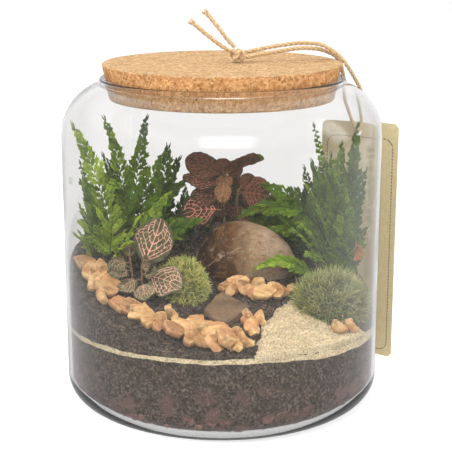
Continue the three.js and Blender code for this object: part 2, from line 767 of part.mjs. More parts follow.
// Cord: a loop from the knot to the hole of the card and back, and two loose tails
const knotAt = vec(11, -1, stopper.top + gap + twine.knot * 0.86);
const loopRoute = [
  [17.4, -2.6, 248.7],
  [28, 0, 250.4],
  [42, 4, 252.4],
  [56, 9, 253.8],
  [68, 14.4, 252.8],
  [76, 20, 250.2],
  [82, 25.8, 247],
  [86.9, 29.4, 241.8],
  [88.8, 31.8, 235.5],
  [90.6, 36.4, 229],
  [93, 46.4, 223.5],
  [94.6, 54.8, 218.2],
  [95.8, 60, 212.8],
  [97.9, 61.8, 206.6],
  [100.2, 62.7, 200],
  [102.9, 63.4, 193],
  [105.1, 64.4, 187.8],
  [108, 67.4, 184.4],
  [111.4, 72, 185.6],
  [113, 74.4, 190.2],
  [112.2, 73.2, 195.6],
  [110.2, 65.4, 201.6],
  [107.8, 54.6, 208],
  [105.3, 45.6, 214.6],
  [103, 37, 221.3],
  [98.8, 28.6, 228.4],
  [94.6, 21.6, 235],
  [91.4, 17.4, 239.6],
  [88.4, 15.2, 243.8],
  [84.2, 14.6, 248.2],
  [78, 14.2, 252.6],
  [70, 14, 256.2],
  [56, 10, 257.4],
  [42, 5.6, 256.2],
  [28.6, 1.8, 254.2],
  [16.9, 0, 252],
];
const tailRoutes = {
  twine_tail_long: [
    [6, -1.5, 252.8],
    [0.5, -2.2, 256],
    [-6, -3, 260.8],
    [-14, -3.6, 267.4],
    [-22.6, -4, 274.6],
  ],
  twine_tail_short: [
    [9, -0.7, 255.7],
    [4.6, 0.4, 260.2],
    [0, 1.2, 266],
    [-6, 2, 273.4],
    [-12.6, 2.6, 281],
  ],
};

// The knot: two turns of the cord pulled tight round each other
function twineKnot() {
  const turns = [];
  const tilts = [vec(0.2, 0.3, 0), vec(1.1, 0.5, 0.4)];
  for (const [k, tilt] of tilts.entries()) {
    const turn = new THREE.TorusGeometry(twine.knot - twine.turn - 0.35 * k, twine.turn, 5, 7);
    turn.rotateX(tilt.x).rotateY(tilt.y).rotateZ(tilt.z);
    turns.push(turn.translate(knotAt.x, knotAt.y, knotAt.z));
  }
  const core = new THREE.IcosahedronGeometry(twine.knot * 0.62, 0);
  turns.push(core.translate(knotAt.x, knotAt.y, knotAt.z));
  return joined(turns);
}

// The card hangs by the jar, with its near edge against the glass, and is bowed a little
const cardEdge = vec(135, 49.4, 0);
const cardAlong = vec(0.832, -0.555, 0);
const cardFace = vec(0.555, 0.832, 0);
const cardBottom = 4;

function cardTag() {
  const cut = card.corner;
  const rows = [{ x: 0, half: card.width / 2 - cut }, { x: cut, half: card.width / 2 }];
  const steps = 4;
  for (let i = 1; i < steps; i++)
    rows.push({ x: mix(cut, card.height - cut, i / steps), half: card.width / 2 });
  rows.push({ x: card.height - cut, half: card.width / 2 });
  rows.push({ x: card.height, half: card.width / 2 - cut });
  const middle = cardEdge.clone().addScaledVector(cardAlong, -card.width / 2);
  const sheet = plate(gridPattern(rows, 6), (spot) => {
    const off = (2 * spot.y) / card.width;
    const at = middle.clone().addScaledVector(cardAlong, spot.y);
    at.addScaledVector(cardFace, card.bow * (1 - off * off));
    at.z = cardBottom + spot.x;
    return { at, normal: cardFace, half: card.thick / 2 };
  });
  const hole = new THREE.CylinderGeometry(card.hole, card.hole, 8, 12);
  hole.applyQuaternion(new THREE.Quaternion().setFromUnitVectors(vec(0, 1, 0), cardFace));
  const through = middle.clone().addScaledVector(cardFace, card.bow);
  hole.translate(through.x, through.y, cardBottom + card.height - card.holeDrop);
  return solidOf(sheet).subtract(solidOf(hole));
}

// Everything that is pressed into the top layers leaves its own seat there
function seats() {
  const pressed = [boulderShape(gap), slabShape(gap)];
  for (const cushion of Object.values(mossCushions)) pressed.push(mossSeat(cushion));
  for (const frond of fronds) pressed.push(stalkHole({ ...frond, radius: soil.stalkHole }));
  for (const stem of leafyStems)
    pressed.push(stalkHole({ ...stem, radius: stem.thick + soil.stemHole }));
  return joined(pressed);
}

const seatCuts = seats();

function sandLayer() {
  const bed = solidOf(layer((x) => sandBase(x), (x) => sandTop(x)));
  return mainBody(bed.add(sandHeap(0)).subtract(seatCuts));
}

function upperSoil() {
  const whole = solidOf(layer((x) => sandTop(x) + gap, (x, y) => soilTop(x, y)));
  return mainBody(whole.subtract(sandHeap(gap * 1.6)).subtract(seatCuts));
}

// The assembly
const terrarium = new THREE.Group();

function add(name, shape, color, roughness) {
  const geometry = shape.isBufferGeometry ? shape : geometryOf(shape);
  const flatShaded = geometry.index ? geometry.toNonIndexed() : geometry;
  flatShaded.computeVertexNormals();
  const material = new THREE.MeshStandardMaterial({ color, roughness, metalness: 0 });
  const mesh = new THREE.Mesh(flatShaded, material);
  mesh.name = name;
  terrarium.add(mesh);
  return mesh;
}

const glass = add("glass_jar", glassJar(), "#e9f0ee", 0.03);
glass.material.transparent = true;
glass.material.opacity = 0.25;
add("cork_stopper", corkStopper(), "#dcb184", 0.85);
add("drainage_pebbles", drainagePebbles(), "#7c5348", 0.7);
add("soil_lower", lowerSoil(), "#3f352f", 0.95);
add("sand_layer", sandLayer(), "#ddcba3", 0.9);
add("soil_upper", upperSoil(), "#453b33", 0.95);
add("boulder", boulderShape(0), "#a38a67", 0.6);
add("flat_stone", slabShape(0), "#8f7c64", 0.7);
for (const [name, trail] of Object.entries(chipTrails)) add(name, chipGroup(trail), "#e0a877", 0.75);
for (const [name, cushion] of Object.entries(mossCushions))
  add(name, mossShape(cushion), "#87905a", 0.9);
for (const frond of fronds) add(frond.name, frondShape(frond), "#557a34", 0.6);
for (const stem of leafyStems) add(stem.name, leafyStem(stem), "#6d4f3c", 0.55);
add("twine_knot", twineKnot(), "#c9a677", 0.9);
const loopPoints = loopRoute.map((spot) => vec(...spot));
add("twine_loop", tube(loopPoints, twine.thick / 2, twine.sides, twine.thick * 3), "#c9a677", 0.9);
for (const [name, route] of Object.entries(tailRoutes)) {
  const points = route.map((spot) => vec(...spot));
  add(name, tube(points, twine.thick / 2, twine.sides, twine.thick * 2.5), "#c9a677", 0.9);
}
add("card_tag", cardTag(), "#d5c69e", 0.8);

export default terrarium;
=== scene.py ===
import random
from math import acos, atan2, cos, degrees, hypot, pi, radians, sin, sqrt

import bpy
import numpy as np
from mathutils import Matrix, Quaternion, Vector, noise


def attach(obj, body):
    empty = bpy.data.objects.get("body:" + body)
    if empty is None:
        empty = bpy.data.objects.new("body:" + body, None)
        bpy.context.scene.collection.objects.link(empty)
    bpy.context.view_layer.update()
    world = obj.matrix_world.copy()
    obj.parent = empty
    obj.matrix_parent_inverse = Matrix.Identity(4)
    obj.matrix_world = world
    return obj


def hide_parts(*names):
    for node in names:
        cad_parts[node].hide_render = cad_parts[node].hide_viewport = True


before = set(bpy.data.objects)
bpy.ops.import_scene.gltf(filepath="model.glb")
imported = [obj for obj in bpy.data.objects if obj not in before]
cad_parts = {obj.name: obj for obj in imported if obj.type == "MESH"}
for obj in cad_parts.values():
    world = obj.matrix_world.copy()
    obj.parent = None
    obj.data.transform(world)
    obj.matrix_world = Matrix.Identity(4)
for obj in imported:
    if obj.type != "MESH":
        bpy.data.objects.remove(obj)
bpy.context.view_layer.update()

print("frame loaded")

mm = 0.001  # everything below is drawn in millimetres, and meshes are made in metres


def mix(a, b, share):
    return a + (b - a) * share


def clamp(value, low=0.0, high=1.0):
    return min(high, max(low, value))


def smooth(value):
    value = clamp(value)
    return value * value * (3 - 2 * value)


def wobble(x, y, z=0.0, size=1.0):
    return noise.noise(Vector((x, y, z)) / size)  # about -1 to 1, with lumps of that size


def around(k, count):
    # cosine and sine of one of the even steps round a circle
    angle = 2 * pi * k / count
    return cos(angle), sin(angle)


def unit(vector):
    return vector / np.linalg.norm(vector)


# Nodes of a world, a light or a finish
class Nodes:
    def __init__(self, owner):
        owner.use_nodes = True
        self.nodes = owner.node_tree.nodes
        self.links = owner.node_tree.links

    def add(self, kind, inputs=(), **settings):
        node = self.nodes.new("ShaderNode" + kind)
        for word, value in settings.items():
            setattr(node, word, value)
        for name, value in dict(inputs).items():
            socket = node.inputs[name]
            if isinstance(value, bpy.types.NodeSocket):
                self.links.new(value, socket)
            else:
                socket.default_value = (*value, 1) if socket.type == "RGBA" else value
        return node

    def split(self, vector):
        return self.add("SeparateXYZ", {0: vector}).outputs

    def math(self, what, a, b=0.0, c=0.0):
        return self.add("Math", {0: a, 1: b, 2: c}, operation=what).outputs[0]

    def ramp(self, share, *stops, ease="LINEAR"):
        node = self.add("ValToRGB", {0: share})
        node.color_ramp.interpolation = ease
        belt = node.color_ramp.elements
        while len(belt) < len(stops):
            belt.new(0.5)
        for element, (position, colour) in zip(belt, stops):
            element.position = position
            grey = (colour, colour, colour) if isinstance(colour, (int, float)) else colour
            element.color = (*grey, 1)
        return node.outputs["Color"]


# Camera and light
shot = {"place": (0, -0.857, 0.3397), "down": 14.08, "lens": 95.76, "shift": 0.0093}


def setCamera():
    data = bpy.data.cameras.new("shotCamera")
    data.lens = shot["lens"]
    data.sensor_width = 36
    data.shift_x = shot["shift"]
    data.clip_end = 20
    camera = bpy.data.objects.new("shotCamera", data)
    camera.location = shot["place"]
    camera.rotation_euler = (radians(90 - shot["down"]), 0, 0)
    bpy.context.collection.objects.link(camera)
    bpy.context.scene.camera = camera


studio = {
    "white": 1.04,  # seen behind the part
    "ambient": 0.72,
    "dark": 0.45,  # in front of it
    "ground": 0.7,  # what the foot of the glass mirrors
    "under": 0.62,  # what shows through the foot of the glass
    "window": 1.1,
    "haze": 1.1,
    "softBox": 2.1,
    "floor": (0.9, 0.9, 0.9),
    "floorWide": 6.0,
    "floorGlow": 0.3,
    "aim": (0, 0, 0.12),
    # name, place, width, height, watts, seen through glass
    "lights": [
        ("keyLight", (-0.9, -0.75, 1.35), 0.8, 0.8, 14, False),
        ("frontLight", (0.1, -1.55, 1.05), 1.5, 1.0, 18, True),
        ("topLight", (0.1, -0.15, 1.5), 0.9, 0.9, 6, False),
        ("rightLight", (1.3, 0.0, 0.75), 0.6, 1.2, 5, True),
        ("backLight", (-0.2, 0.95, 1.2), 1.2, 0.6, 8, False),
    ],
}


def setWorld():
    # white behind the part, and darker in front, where only reflections look; a window stands on the right
    world = bpy.data.worlds.new("studioWorld")
    bpy.context.scene.world = world
    sky = Nodes(world)
    way = sky.split(sky.add("TexCoord").outputs["Generated"])
    height = sky.math("MULTIPLY_ADD", way["Z"], 0.5, 0.5)
    dark, ground, under = studio["dark"], studio["ground"], studio["under"]
    low = sky.ramp(height, (0, dark), (0.52, dark), (0.64, 0.6), (0.78, studio["window"]), (1, 0.8))
    aside = sky.ramp(way["X"], (0.6, 0), (0.92, 1))
    band = sky.ramp(height, (0.28, 0), (0.35, 1), (0.46, 1), (0.54, 0))
    haze = sky.math("MULTIPLY", sky.math("MULTIPLY", aside, band), studio["haze"])
    front = sky.math("MAXIMUM", low, haze)
    mirrored = sky.math("MAXIMUM", front, sky.ramp(way["Y"], (0.25, 0), (0.95, 1)))
    mirrored = sky.math("MAXIMUM", mirrored, sky.ramp(height, (0, ground), (0.34, ground), (0.41, 0)))
    behind = sky.math("MULTIPLY", sky.ramp(way["Y"], (0, 0), (0.3, 1)), studio["white"])
    seen = sky.math("MAXIMUM", front, behind)
    seen = sky.math("MAXIMUM", seen, sky.ramp(height, (0, under), (0.24, under), (0.34, 0)))
    rays = sky.add("LightPath").outputs
    glossy, diffuse = rays["Is Glossy Ray"], rays["Is Diffuse Ray"]
    others = sky.math("SUBTRACT", sky.math("SUBTRACT", 1.0, glossy), diffuse)
    power = sky.math("MULTIPLY", diffuse, studio["ambient"])
    power = sky.math("MULTIPLY_ADD", mirrored, glossy, power)
    power = sky.math("MULTIPLY_ADD", seen, others, power)
    shader = sky.nodes["Background"]
    shader.inputs["Color"].default_value = (1, 1, 1, 1)
    sky.links.new(power, shader.inputs["Strength"])


def softenLight(data):
    # a soft box is brightest in its middle and fades towards its edges
    glow = Nodes(data)
    spot = glow.split(glow.add("NewGeometry").outputs["Parametric"])
    fades = [glow.ramp(spot[axis], (0, 0), (0.32, 1), (0.68, 1), (1, 0), ease="EASE") for axis in "XY"]
    power = glow.math("MULTIPLY", glow.math("MULTIPLY", *fades), studio["softBox"])
    glow.links.new(power, glow.nodes["Emission"].inputs["Strength"])


def setFloor():
    wide = studio["floorWide"]
    mesh = bpy.data.meshes.new("studioFloor")
    mesh.from_pydata([(-wide, -wide, 0), (wide, -wide, 0), (wide, wide, 0), (-wide, wide, 0)],
                     [], [(0, 1, 2, 3)])
    floor = bpy.data.objects.new("studioFloor", mesh)
    floor.location.z = -0.0004
    floor.visible_glossy = False
    floor.visible_transmission = False
    bpy.context.collection.objects.link(floor)
    paper = Recipe("floorPaper", roughness=0.9, emission_strength=studio["floorGlow"])
    paper.shader.inputs["Emission Color"].default_value = (1, 1, 1, 1)
    shade = tuple(c * 0.99 for c in studio["floor"])
    paper.colour(paper.patches(60, (0, shade), (1, studio["floor"]), detail=2))
    mesh.materials.append(paper.material)


def setStudio():
    setWorld()
    for name, place, width, height, watts, throughGlass in studio["lights"]:
        data = bpy.data.lights.new(name, "AREA")
        data.shape = "RECTANGLE"
        data.size = width
        data.size_y = height
        data.energy = watts
        softenLight(data)
        light = bpy.data.objects.new(name, data)
        light.location = place
        toPart = Vector(studio["aim"]) - Vector(place)
        light.rotation_euler = toPart.to_track_quat("-Z", "Y").to_euler()
        light.visible_glossy = False
        light.visible_transmission = throughGlass
        bpy.context.collection.objects.link(light)
    setFloor()
    bpy.context.scene.view_settings.view_transform = "Standard"
    bpy.context.scene.view_settings.look = "None"


# Finishes
class Recipe(Nodes):
    # one procedural finish; a ramp's stops are positions with a grey or a colour
    def __init__(self, name, **values):
        self.material = bpy.data.materials.new(name)
        super().__init__(self.material)
        self.shader = self.nodes["Principled BSDF"]
        for word, value in values.items():
            socket = word.replace("_", " ").title().replace("Ior", "IOR")
            self.shader.inputs[socket].default_value = value
        self.place = self.add("TexCoord").outputs["Object"]

    def stretched(self, scale):
        return self.add("Mapping", {"Vector": self.place, "Scale": scale}).outputs[0]

    def noise(self, scale, detail=3.0, rough=0.55, twist=0.0, place=None):
        values = {"Vector": place or self.place, "Scale": scale, "Detail": detail,
                  "Roughness": rough, "Distortion": twist}
        return self.add("TexNoise", values).outputs["Fac"]

    def patches(self, scale, *stops, **kind):
        return self.ramp(self.noise(scale, **kind), *stops)

    def cells(self, scale, output="Distance", place=None):
        return self.add("TexVoronoi", {"Vector": place or self.place, "Scale": scale}).outputs[output]

    def grains(self, scale, place=None):
        # a different grey in each cell
        return self.add("RGBToBW", {"Color": self.cells(scale, "Color", place)}).outputs[0]

    def toned(self, *stops):
        tone = self.add("Attribute", attribute_name="tone").outputs["Fac"]
        return self.ramp(tone, *stops) if stops else tone

    def ranged(self, value, low, high, end="From"):
        return self.add("MapRange", {"Value": value, end + " Min": low, end + " Max": high}).outputs[0]

    def blend(self, share, a, b, way="MIX"):
        return self.add("Mix", {0: share, 6: a, 7: b}, data_type="RGBA", blend_type=way).outputs[2]

    def times(self, body, *tints, share=1.0):
        for tint in tints:
            body = self.blend(share, body, tint, "MULTIPLY")
        return body

    def colour(self, body, *tints):
        self.links.new(self.times(body, *tints), self.shader.inputs["Base Color"])

    def rough(self, share, low, high):
        self.links.new(self.ranged(share, low, high, "To"), self.shader.inputs["Roughness"])

    def bumps(self, *layers):
        # the last step of a finish; each layer is a height and how far it stands out, in millimetres
        normal = None
        for height, depth in layers:
            values = {"Height": height, "Distance": depth * mm, "Strength": 1.0}
            if normal:
                values["Normal"] = normal
            normal = self.add("Bump", values).outputs["Normal"]
        self.links.new(normal, self.shader.inputs["Normal"])
        return self.material


def glassFinish():
    glass = Recipe("clearGlass", roughness=0.0, ior=1.45, transmission_weight=1.0)
    waves = glass.noise(14, detail=1)
    glass.colour(glass.ramp(waves, (0, (0.955, 0.948, 0.94)), (1, (0.972, 0.966, 0.958))))
    return glass.bumps((waves, 0.3))


def corkFinish():
    cork = Recipe("pressedCork", roughness=0.9, specular_ior_level=0.25)
    bent = cork.add("VectorMath", {0: cork.noise(160, detail=2), 1: (0.0035,) * 3}, operation="MULTIPLY")
    warped = cork.add("VectorMath", {0: cork.place, 1: bent.outputs[0]}).outputs[0]
    grey = cork.grains(620, warped)
    fine = cork.noise(640, detail=4, rough=0.75)
    # the cut rim is redder than the top, and is painted darker as the shade on the side under the top light
    rim = cork.ramp(grey, (0.1, (0.36, 0.155, 0.052)), (0.45, (0.5, 0.24, 0.092)), (0.9, (0.66, 0.38, 0.17)))
    face = cork.ramp(grey, (0.1, (0.35, 0.185, 0.077)), (0.45, (0.46, 0.285, 0.136)),
                     (0.9, (0.57, 0.405, 0.23)))
    body = cork.blend(cork.toned(), rim, face)
    body = cork.times(body, cork.ramp(fine, (0.36, 0.2), (0.45, 1.0)), share=0.85)
    cork.colour(body, cork.patches(90, (0.3, 0.84), (0.7, 1.08)))
    return cork.bumps((grey, 0.25), (fine, 0.5))


def soilFinish():
    soil = Recipe("darkSoil", roughness=0.95, specular_ior_level=0.2)
    crumbs = soil.noise(560, detail=6, rough=0.8)
    body = soil.ramp(crumbs, (0.38, (0.01, 0.008, 0.0065)), (0.49, (0.066, 0.052, 0.042)),
                     (0.58, (0.16, 0.128, 0.104)), (0.68, (0.36, 0.29, 0.22)))
    tint = soil.toned((0, (0.3, 0.3, 0.3)), (1, (1.7, 1.55, 1.4)))
    shade = soil.times(body, tint, soil.patches(150, (0.38, 0.72), (0.62, 1.25)))
    # red grit from the pebbles has worked up into the lowest soil
    depth = soil.ranged(soil.split(soil.place)["Z"], 0.046, 0.028)
    red = soil.patches(64, (0.52, 0.0), (0.58, 0.8))
    shade = soil.blend(soil.math("MULTIPLY", depth, red), shade, (0.17, 0.095, 0.08))
    flecks = soil.ramp(soil.cells(430), (0.1, 1.0), (0.22, 0.0))
    pale = soil.math("MULTIPLY", flecks, soil.patches(170, (0.53, 0.0), (0.62, 1.0), detail=1))
    soil.colour(soil.blend(pale, shade, (0.34, 0.27, 0.21)))
    return soil.bumps((crumbs, 1.4), (soil.noise(900), 0.5))


def sandFinish():
    sand = Recipe("paleSand", roughness=0.95, specular_ior_level=0.25)
    body = sand.ramp(sand.grains(900), (0.1, (0.48, 0.36, 0.2)), (0.35, (0.7, 0.56, 0.34)),
                     (0.9, (0.9, 0.78, 0.54)))
    sand.colour(body, sand.patches(90, (0.3, 0.82), (0.7, 1.08)), sand.toned((0, 0.6), (1, 1.12)))
    return sand.bumps((sand.cells(900), 0.6), (sand.noise(300), 0.6))


def pebbleFinish():
    clay = Recipe("redPebble", roughness=0.9, specular_ior_level=0.25)
    fine = clay.noise(300, detail=5, rough=0.75)
    body = clay.ramp(fine, (0.3, (0.08, 0.046, 0.037)), (0.7, (0.3, 0.175, 0.145)))
    clay.colour(body, clay.toned((0, (0.5, 0.5, 0.52)), (1, (1.25, 1.15, 1.1))))
    return clay.bumps((fine, 1.0), (clay.cells(700), 0.4))


def boulderFinish():
    rock = Recipe("riverRock", roughness=0.5, specular_ior_level=0.3)
    # darker towards its left end, lighter and pinker to the right
    broad = rock.noise(30, detail=4, rough=0.6, twist=1.2)
    drift = rock.math("MULTIPLY_ADD", broad, 0.05, rock.split(rock.place)["X"])
    body = rock.ramp(rock.ranged(drift, 0.018, 0.064), (0, (0.022, 0.009, 0.002)),
                     (0.35, (0.08, 0.033, 0.007)), (0.62, (0.34, 0.225, 0.125)), (1, (0.42, 0.3, 0.2)))
    rust = rock.patches(70, (0.5, 0.0), (0.62, 0.7), detail=4, rough=0.65, twist=2.2)
    pale = rock.patches(150, (0.56, 0.0), (0.66, 0.55), detail=5, rough=0.7, twist=1.0)
    shade = rock.blend(pale, rock.blend(rust, body, (0.2, 0.09, 0.02)), (0.44, 0.35, 0.23))
    grain = rock.noise(520, detail=5, rough=0.75)
    rock.colour(shade, rock.ramp(grain, (0.3, 0.6), (0.7, 1.2)))
    rock.rough(grain, 0.34, 0.7)
    return rock.bumps((broad, 1.2), (grain, 0.3))


def slateFinish():
    slate = Recipe("flatRock", roughness=0.75)
    strata = slate.noise(50, place=slate.stretched((0.4, 0.4, 6)))
    body = slate.ramp(strata, (0.3, (0.1, 0.06, 0.034)), (0.7, (0.26, 0.165, 0.092)))
    rust = slate.patches(60, (0.5, 0.0), (0.75, 0.6), detail=4)
    grain = slate.noise(500, detail=4)
    slate.colour(slate.blend(rust, body, (0.26, 0.155, 0.085)), slate.ramp(grain, (0.3, 0.7), (0.7, 1.2)))
    return slate.bumps((strata, 1.0), (grain, 0.4))


def barkFinish():
    bark = Recipe("barkChip", roughness=0.75, specular_ior_level=0.3)
    fibres = bark.noise(130, detail=5, rough=0.65, place=bark.stretched((1, 2.4, 1)))
    body = bark.ramp(fibres, (0.3, (0.34, 0.15, 0.06)), (0.45, (0.5, 0.28, 0.125)),
                     (0.58, (0.62, 0.41, 0.2)), (0.72, (0.76, 0.58, 0.33)))
    pink = bark.patches(60, (0.5, 0.0), (0.68, 0.5), detail=2)
    tint = bark.toned((0, (0.25, 0.18, 0.13)), (0.4, (0.8, 0.75, 0.7)), (1, (1.15, 1.18, 1.1)))
    shade = bark.times(bark.blend(pink, body, (0.62, 0.29, 0.17)), tint)
    bark.colour(bark.times(shade, bark.patches(110, (0.32, 0.3), (0.4, 1.0), detail=4), share=0.8))
    return bark.bumps((fibres, 0.5), (bark.noise(420, detail=4), 0.35))


def twineFinish():
    jute = Recipe("juteTwine", roughness=0.85, sheen_weight=0.2, sheen_roughness=0.5)
    fibres = jute.noise(900, detail=4, rough=0.7)
    jute.colour(jute.ramp(fibres, (0.3, (0.33, 0.2, 0.09)), (0.55, (0.6, 0.42, 0.23)),
                          (0.75, (0.8, 0.64, 0.42))))
    return jute.bumps((fibres, 0.25))


def mossFinish(name, *stops):
    skin = Recipe(name, roughness=0.8, specular_ior_level=0.2, sheen_weight=0.1, sheen_roughness=0.5)
    skin.colour(skin.toned(*stops), skin.patches(110, (0.3, (0.78, 0.9, 0.8)), (0.7, (1.22, 1.1, 0.95))))
    return skin.bumps((skin.noise(900, detail=2), 0.15))


def fernFinish(name, *stops):
    skin = Recipe(name, roughness=0.5, specular_ior_level=0.15, subsurface_weight=0.08,
                  subsurface_radius=(0.4, 1.0, 0.15), subsurface_scale=0.001)
    patches = skin.noise(90)
    veins = skin.patches(700, (0.35, 0.7), (0.65, 1.25))
    skin.colour(skin.toned(*stops), veins, skin.ramp(patches, (0.3, 0.7), (0.7, 1.3)))
    skin.rough(patches, 0.32, 0.55)
    return skin.bumps((skin.noise(600), 0.12))


def bladeFinish(name, *stops):
    skin = Recipe(name, roughness=0.5, specular_ior_level=0.2, subsurface_weight=0.08,
                  subsurface_radius=(0.8, 0.7, 0.2), subsurface_scale=0.001)
    cells = skin.cells(520)
    patches = skin.patches(160, (0.3, 0.65), (0.7, 1.3), detail=4)
    skin.colour(skin.toned(*stops), patches, skin.ramp(cells, (0.0, 0.75), (0.5, 1.15)))
    return skin.bumps((cells, 0.3))


def veinFinish(name, *stops):
    skin = Recipe(name, roughness=0.5, specular_ior_level=0.2)
    skin.colour(skin.toned(*stops), skin.patches(200, (0.3, 0.8), (0.7, 1.2)))
    return skin.bumps((skin.noise(900, detail=2), 0.08))


tag = {
    "edge": (0.135, 0.0494),
    "along": (0.832, -0.555),
    "width": 0.065,
    "height": 0.188,
    "low": 0.004,
    "inset": 0.0048,
    "insetTop": 0.0125,
    "corner": 0.0075,
    "line": 0.00048,
    "dash": 0.0026,
}


def cardFinish():
    card = Recipe("kraftCard", roughness=0.8, specular_ior_level=0.25)
    fibres = card.noise(520, detail=5, rough=0.7, place=card.stretched((1, 1, 0.4)))
    body = card.ramp(fibres, (0.3, (0.58, 0.47, 0.27)), (0.7, (0.69, 0.58, 0.36)))
    body = card.times(body, card.patches(1500, (0.28, 0.8), (0.36, 1.0), detail=2), share=0.6)
    # the printed dashes lie on a rounded line inside the card's edge
    spot = card.split(card.place)
    (alongX, alongY), (edgeX, edgeY) = tag["along"], tag["edge"]
    across = card.math("MULTIPLY_ADD", spot["Y"], alongY, tag["width"] / 2 - edgeX * alongX - edgeY * alongY)
    across = card.math("MULTIPLY_ADD", spot["X"], alongX, across)
    up = card.math("SUBTRACT", spot["Z"], tag["low"] + (tag["height"] + tag["inset"] - tag["insetTop"]) / 2)
    halfWide = tag["width"] / 2 - tag["inset"] - tag["corner"]
    halfHigh = (tag["height"] - tag["inset"] - tag["insetTop"]) / 2 - tag["corner"]
    squares = []
    for way, half in ((across, halfWide), (up, halfHigh)):
        out = card.math("MAXIMUM", card.math("SUBTRACT", card.math("ABSOLUTE", way), half))
        squares.append(card.math("MULTIPLY", out, out))
    length = card.math("SQRT", card.math("ADD", *squares))
    onLine = card.math("COMPARE", length, tag["corner"], tag["line"])
    run = card.math("ADD", card.math("ADD", across, up), 1.0)
    step = card.math("FRACT", card.math("DIVIDE", run, tag["dash"]))
    dashes = card.math("MULTIPLY", onLine, card.math("LESS_THAN", step, 0.5))
    card.colour(card.blend(dashes, body, (0.06, 0.04, 0.02)))
    return card.bumps((fibres, 0.06))


# Mesh building
class Pile:
    # triangles gathered for one piece, each with a finish and a tone
    def __init__(self):
        self.points, self.faces, self.slots, self.tones = [], [], [], []
        self.count = 0

    def add(self, points, faces, slot=0, tone=0.5):
        points = np.asarray(points, float).reshape(-1, 3)
        faces = np.asarray(faces, int).reshape(-1, 3)
        self.points.append(points)
        self.faces.append(faces + self.count)
        self.slots.append(np.full(len(faces), slot))
        self.tones.append(np.broadcast_to(np.asarray(tone, float), (len(points),)))
        self.count += len(points)

    def piece(self, node, ending, slot, finishes, crease=55):
        # the finer piece that stands for a node of the frame
        points = np.concatenate(self.points) * mm
        faces = np.concatenate(self.faces)
        mesh = bpy.data.meshes.new(node + ending)
        mesh.from_pydata(points.tolist(), [], faces.tolist())
        for finish in finishes:
            mesh.materials.append(finish)
        mesh.polygons.foreach_set("material_index", np.concatenate(self.slots))
        mesh.shade_smooth()
        tones = mesh.attributes.new("tone", "FLOAT", "POINT")
        tones.data.foreach_set("value", np.concatenate(self.tones))
        mesh.set_sharp_from_angle(angle=radians(crease))
        piece = bpy.data.objects.new(node + ending, mesh)
        bpy.context.collection.objects.link(piece)
        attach(piece, "root")
        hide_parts(node)
        return piece


def flipped(faces):
    return [(a, c, b) for a, b, c in faces]


def netFaces(rows, columns, start=0, closed=True):
    # triangles between rows of points, where each row joins the next
    faces = []
    wide = columns if closed else columns + 1
    for i in range(rows):
        for k in range(columns):
            a = start + i * wide + k
            b = start + i * wide + (k + 1) % wide
            faces += [(a, a + wide, b + wide), (a, b + wide, b)]
    return faces


def fanFaces(middle, start, sides):
    # triangles from one point to a closed row
    return [(middle, start + k, start + (k + 1) % sides) for k in range(sides)]


def endFaces(last, sides):
    # the flat ends of a net whose first row starts at 0 and whose last row starts at last
    faces = []
    for k in range(1, sides - 1):
        faces += [(0, k + 1, k), (last, last + k, last + k + 1)]
    return faces


rimFaces = {}


def plateFaces(key, faces, count):
    # both faces of a thin plate and the rim between them, worked out once for each pattern
    if key not in rimFaces:
        edges = {pair: True for a, b, c in faces for pair in ((a, b), (b, c), (c, a))}
        whole = [tuple(face) for face in faces]
        whole += [(count + a, count + c, count + b) for a, b, c in faces]
        for a, b in edges:
            if (b, a) not in edges:
                whole += [(b, a, count + a), (b, count + a, count + b)]
        rimFaces[key] = np.array(whole)
    return rimFaces[key]


def addPlate(pile, key, faces, points, normals, half, slot, tones):
    both = np.concatenate([points + normals * half, points - normals * half])
    pile.add(both, plateFaces(key, faces, len(points)), slot, np.tile(np.clip(tones, 0, 1), 2))


def framesAlong(line):
    # each spot with its direction and two directions square to it that don't twist
    side = (line[1] - line[0]).normalized().orthogonal().normalized()
    frames = []
    for i, spot in enumerate(line):
        ahead = (line[min(i + 1, len(line) - 1)] - line[max(i - 1, 0)]).normalized()
        side = (side - ahead * side.dot(ahead)).normalized()
        frames.append((spot, ahead, side, ahead.cross(side)))
    return frames


def tubeAlong(pile, points, radii, sides=8, slot=0, tone=0.5):
    rings = []
    for i, (spot, _, side, up) in enumerate(framesAlong([Vector(point) for point in points])):
        for k in range(sides):
            a, b = around(k, sides)
            rings.append(spot + (side * a + up * b) * radii[i])
    faces = flipped(netFaces(len(points) - 1, sides)) + endFaces((len(points) - 1) * sides, sides)
    pile.add([tuple(p) for p in rings], faces, slot, tone)


def smoothLine(points, spacing):
    # a rounded line through the points, with even steps
    spots = np.array(points, float)
    spots = np.vstack([2 * spots[0] - spots[1], spots, 2 * spots[-1] - spots[-2]])
    t = np.arange(24)[:, None] / 24
    dense = [0.5 * ((2 * b) + (c - a) * t + (2 * a - 5 * b + 4 * c - d) * t * t
                    + (3 * b - a - 3 * c + d) * t * t * t)
             for a, b, c, d in zip(spots, spots[1:], spots[2:], spots[3:])]
    dense = np.vstack([*dense, spots[-2]])
    run = np.concatenate([[0.0], np.cumsum(np.linalg.norm(np.diff(dense, axis=0), axis=1))])
    steps = max(2, round(run[-1] / spacing))
    want = run[-1] * np.arange(steps + 1) / steps
    line = np.column_stack([np.interp(want, run, dense[:, axis]) for axis in range(3)])
    return [Vector(spot) for spot in line.tolist()], float(run[-1])


def lathePile(profile, sides, bend=None, slot=0, tone=0.5):
    # turned about the upright axis, and closed there where the profile starts and ends
    pile = Pile()
    points = []
    for radius, height in profile:
        for k in range(sides):
            a, b = around(k, sides)
            spot = (radius * a, radius * b, height)
            points.append(bend(*spot) if bend else spot)
    pile.add(points, flipped(netFaces(len(profile) - 1, sides)), slot, tone)
    return pile


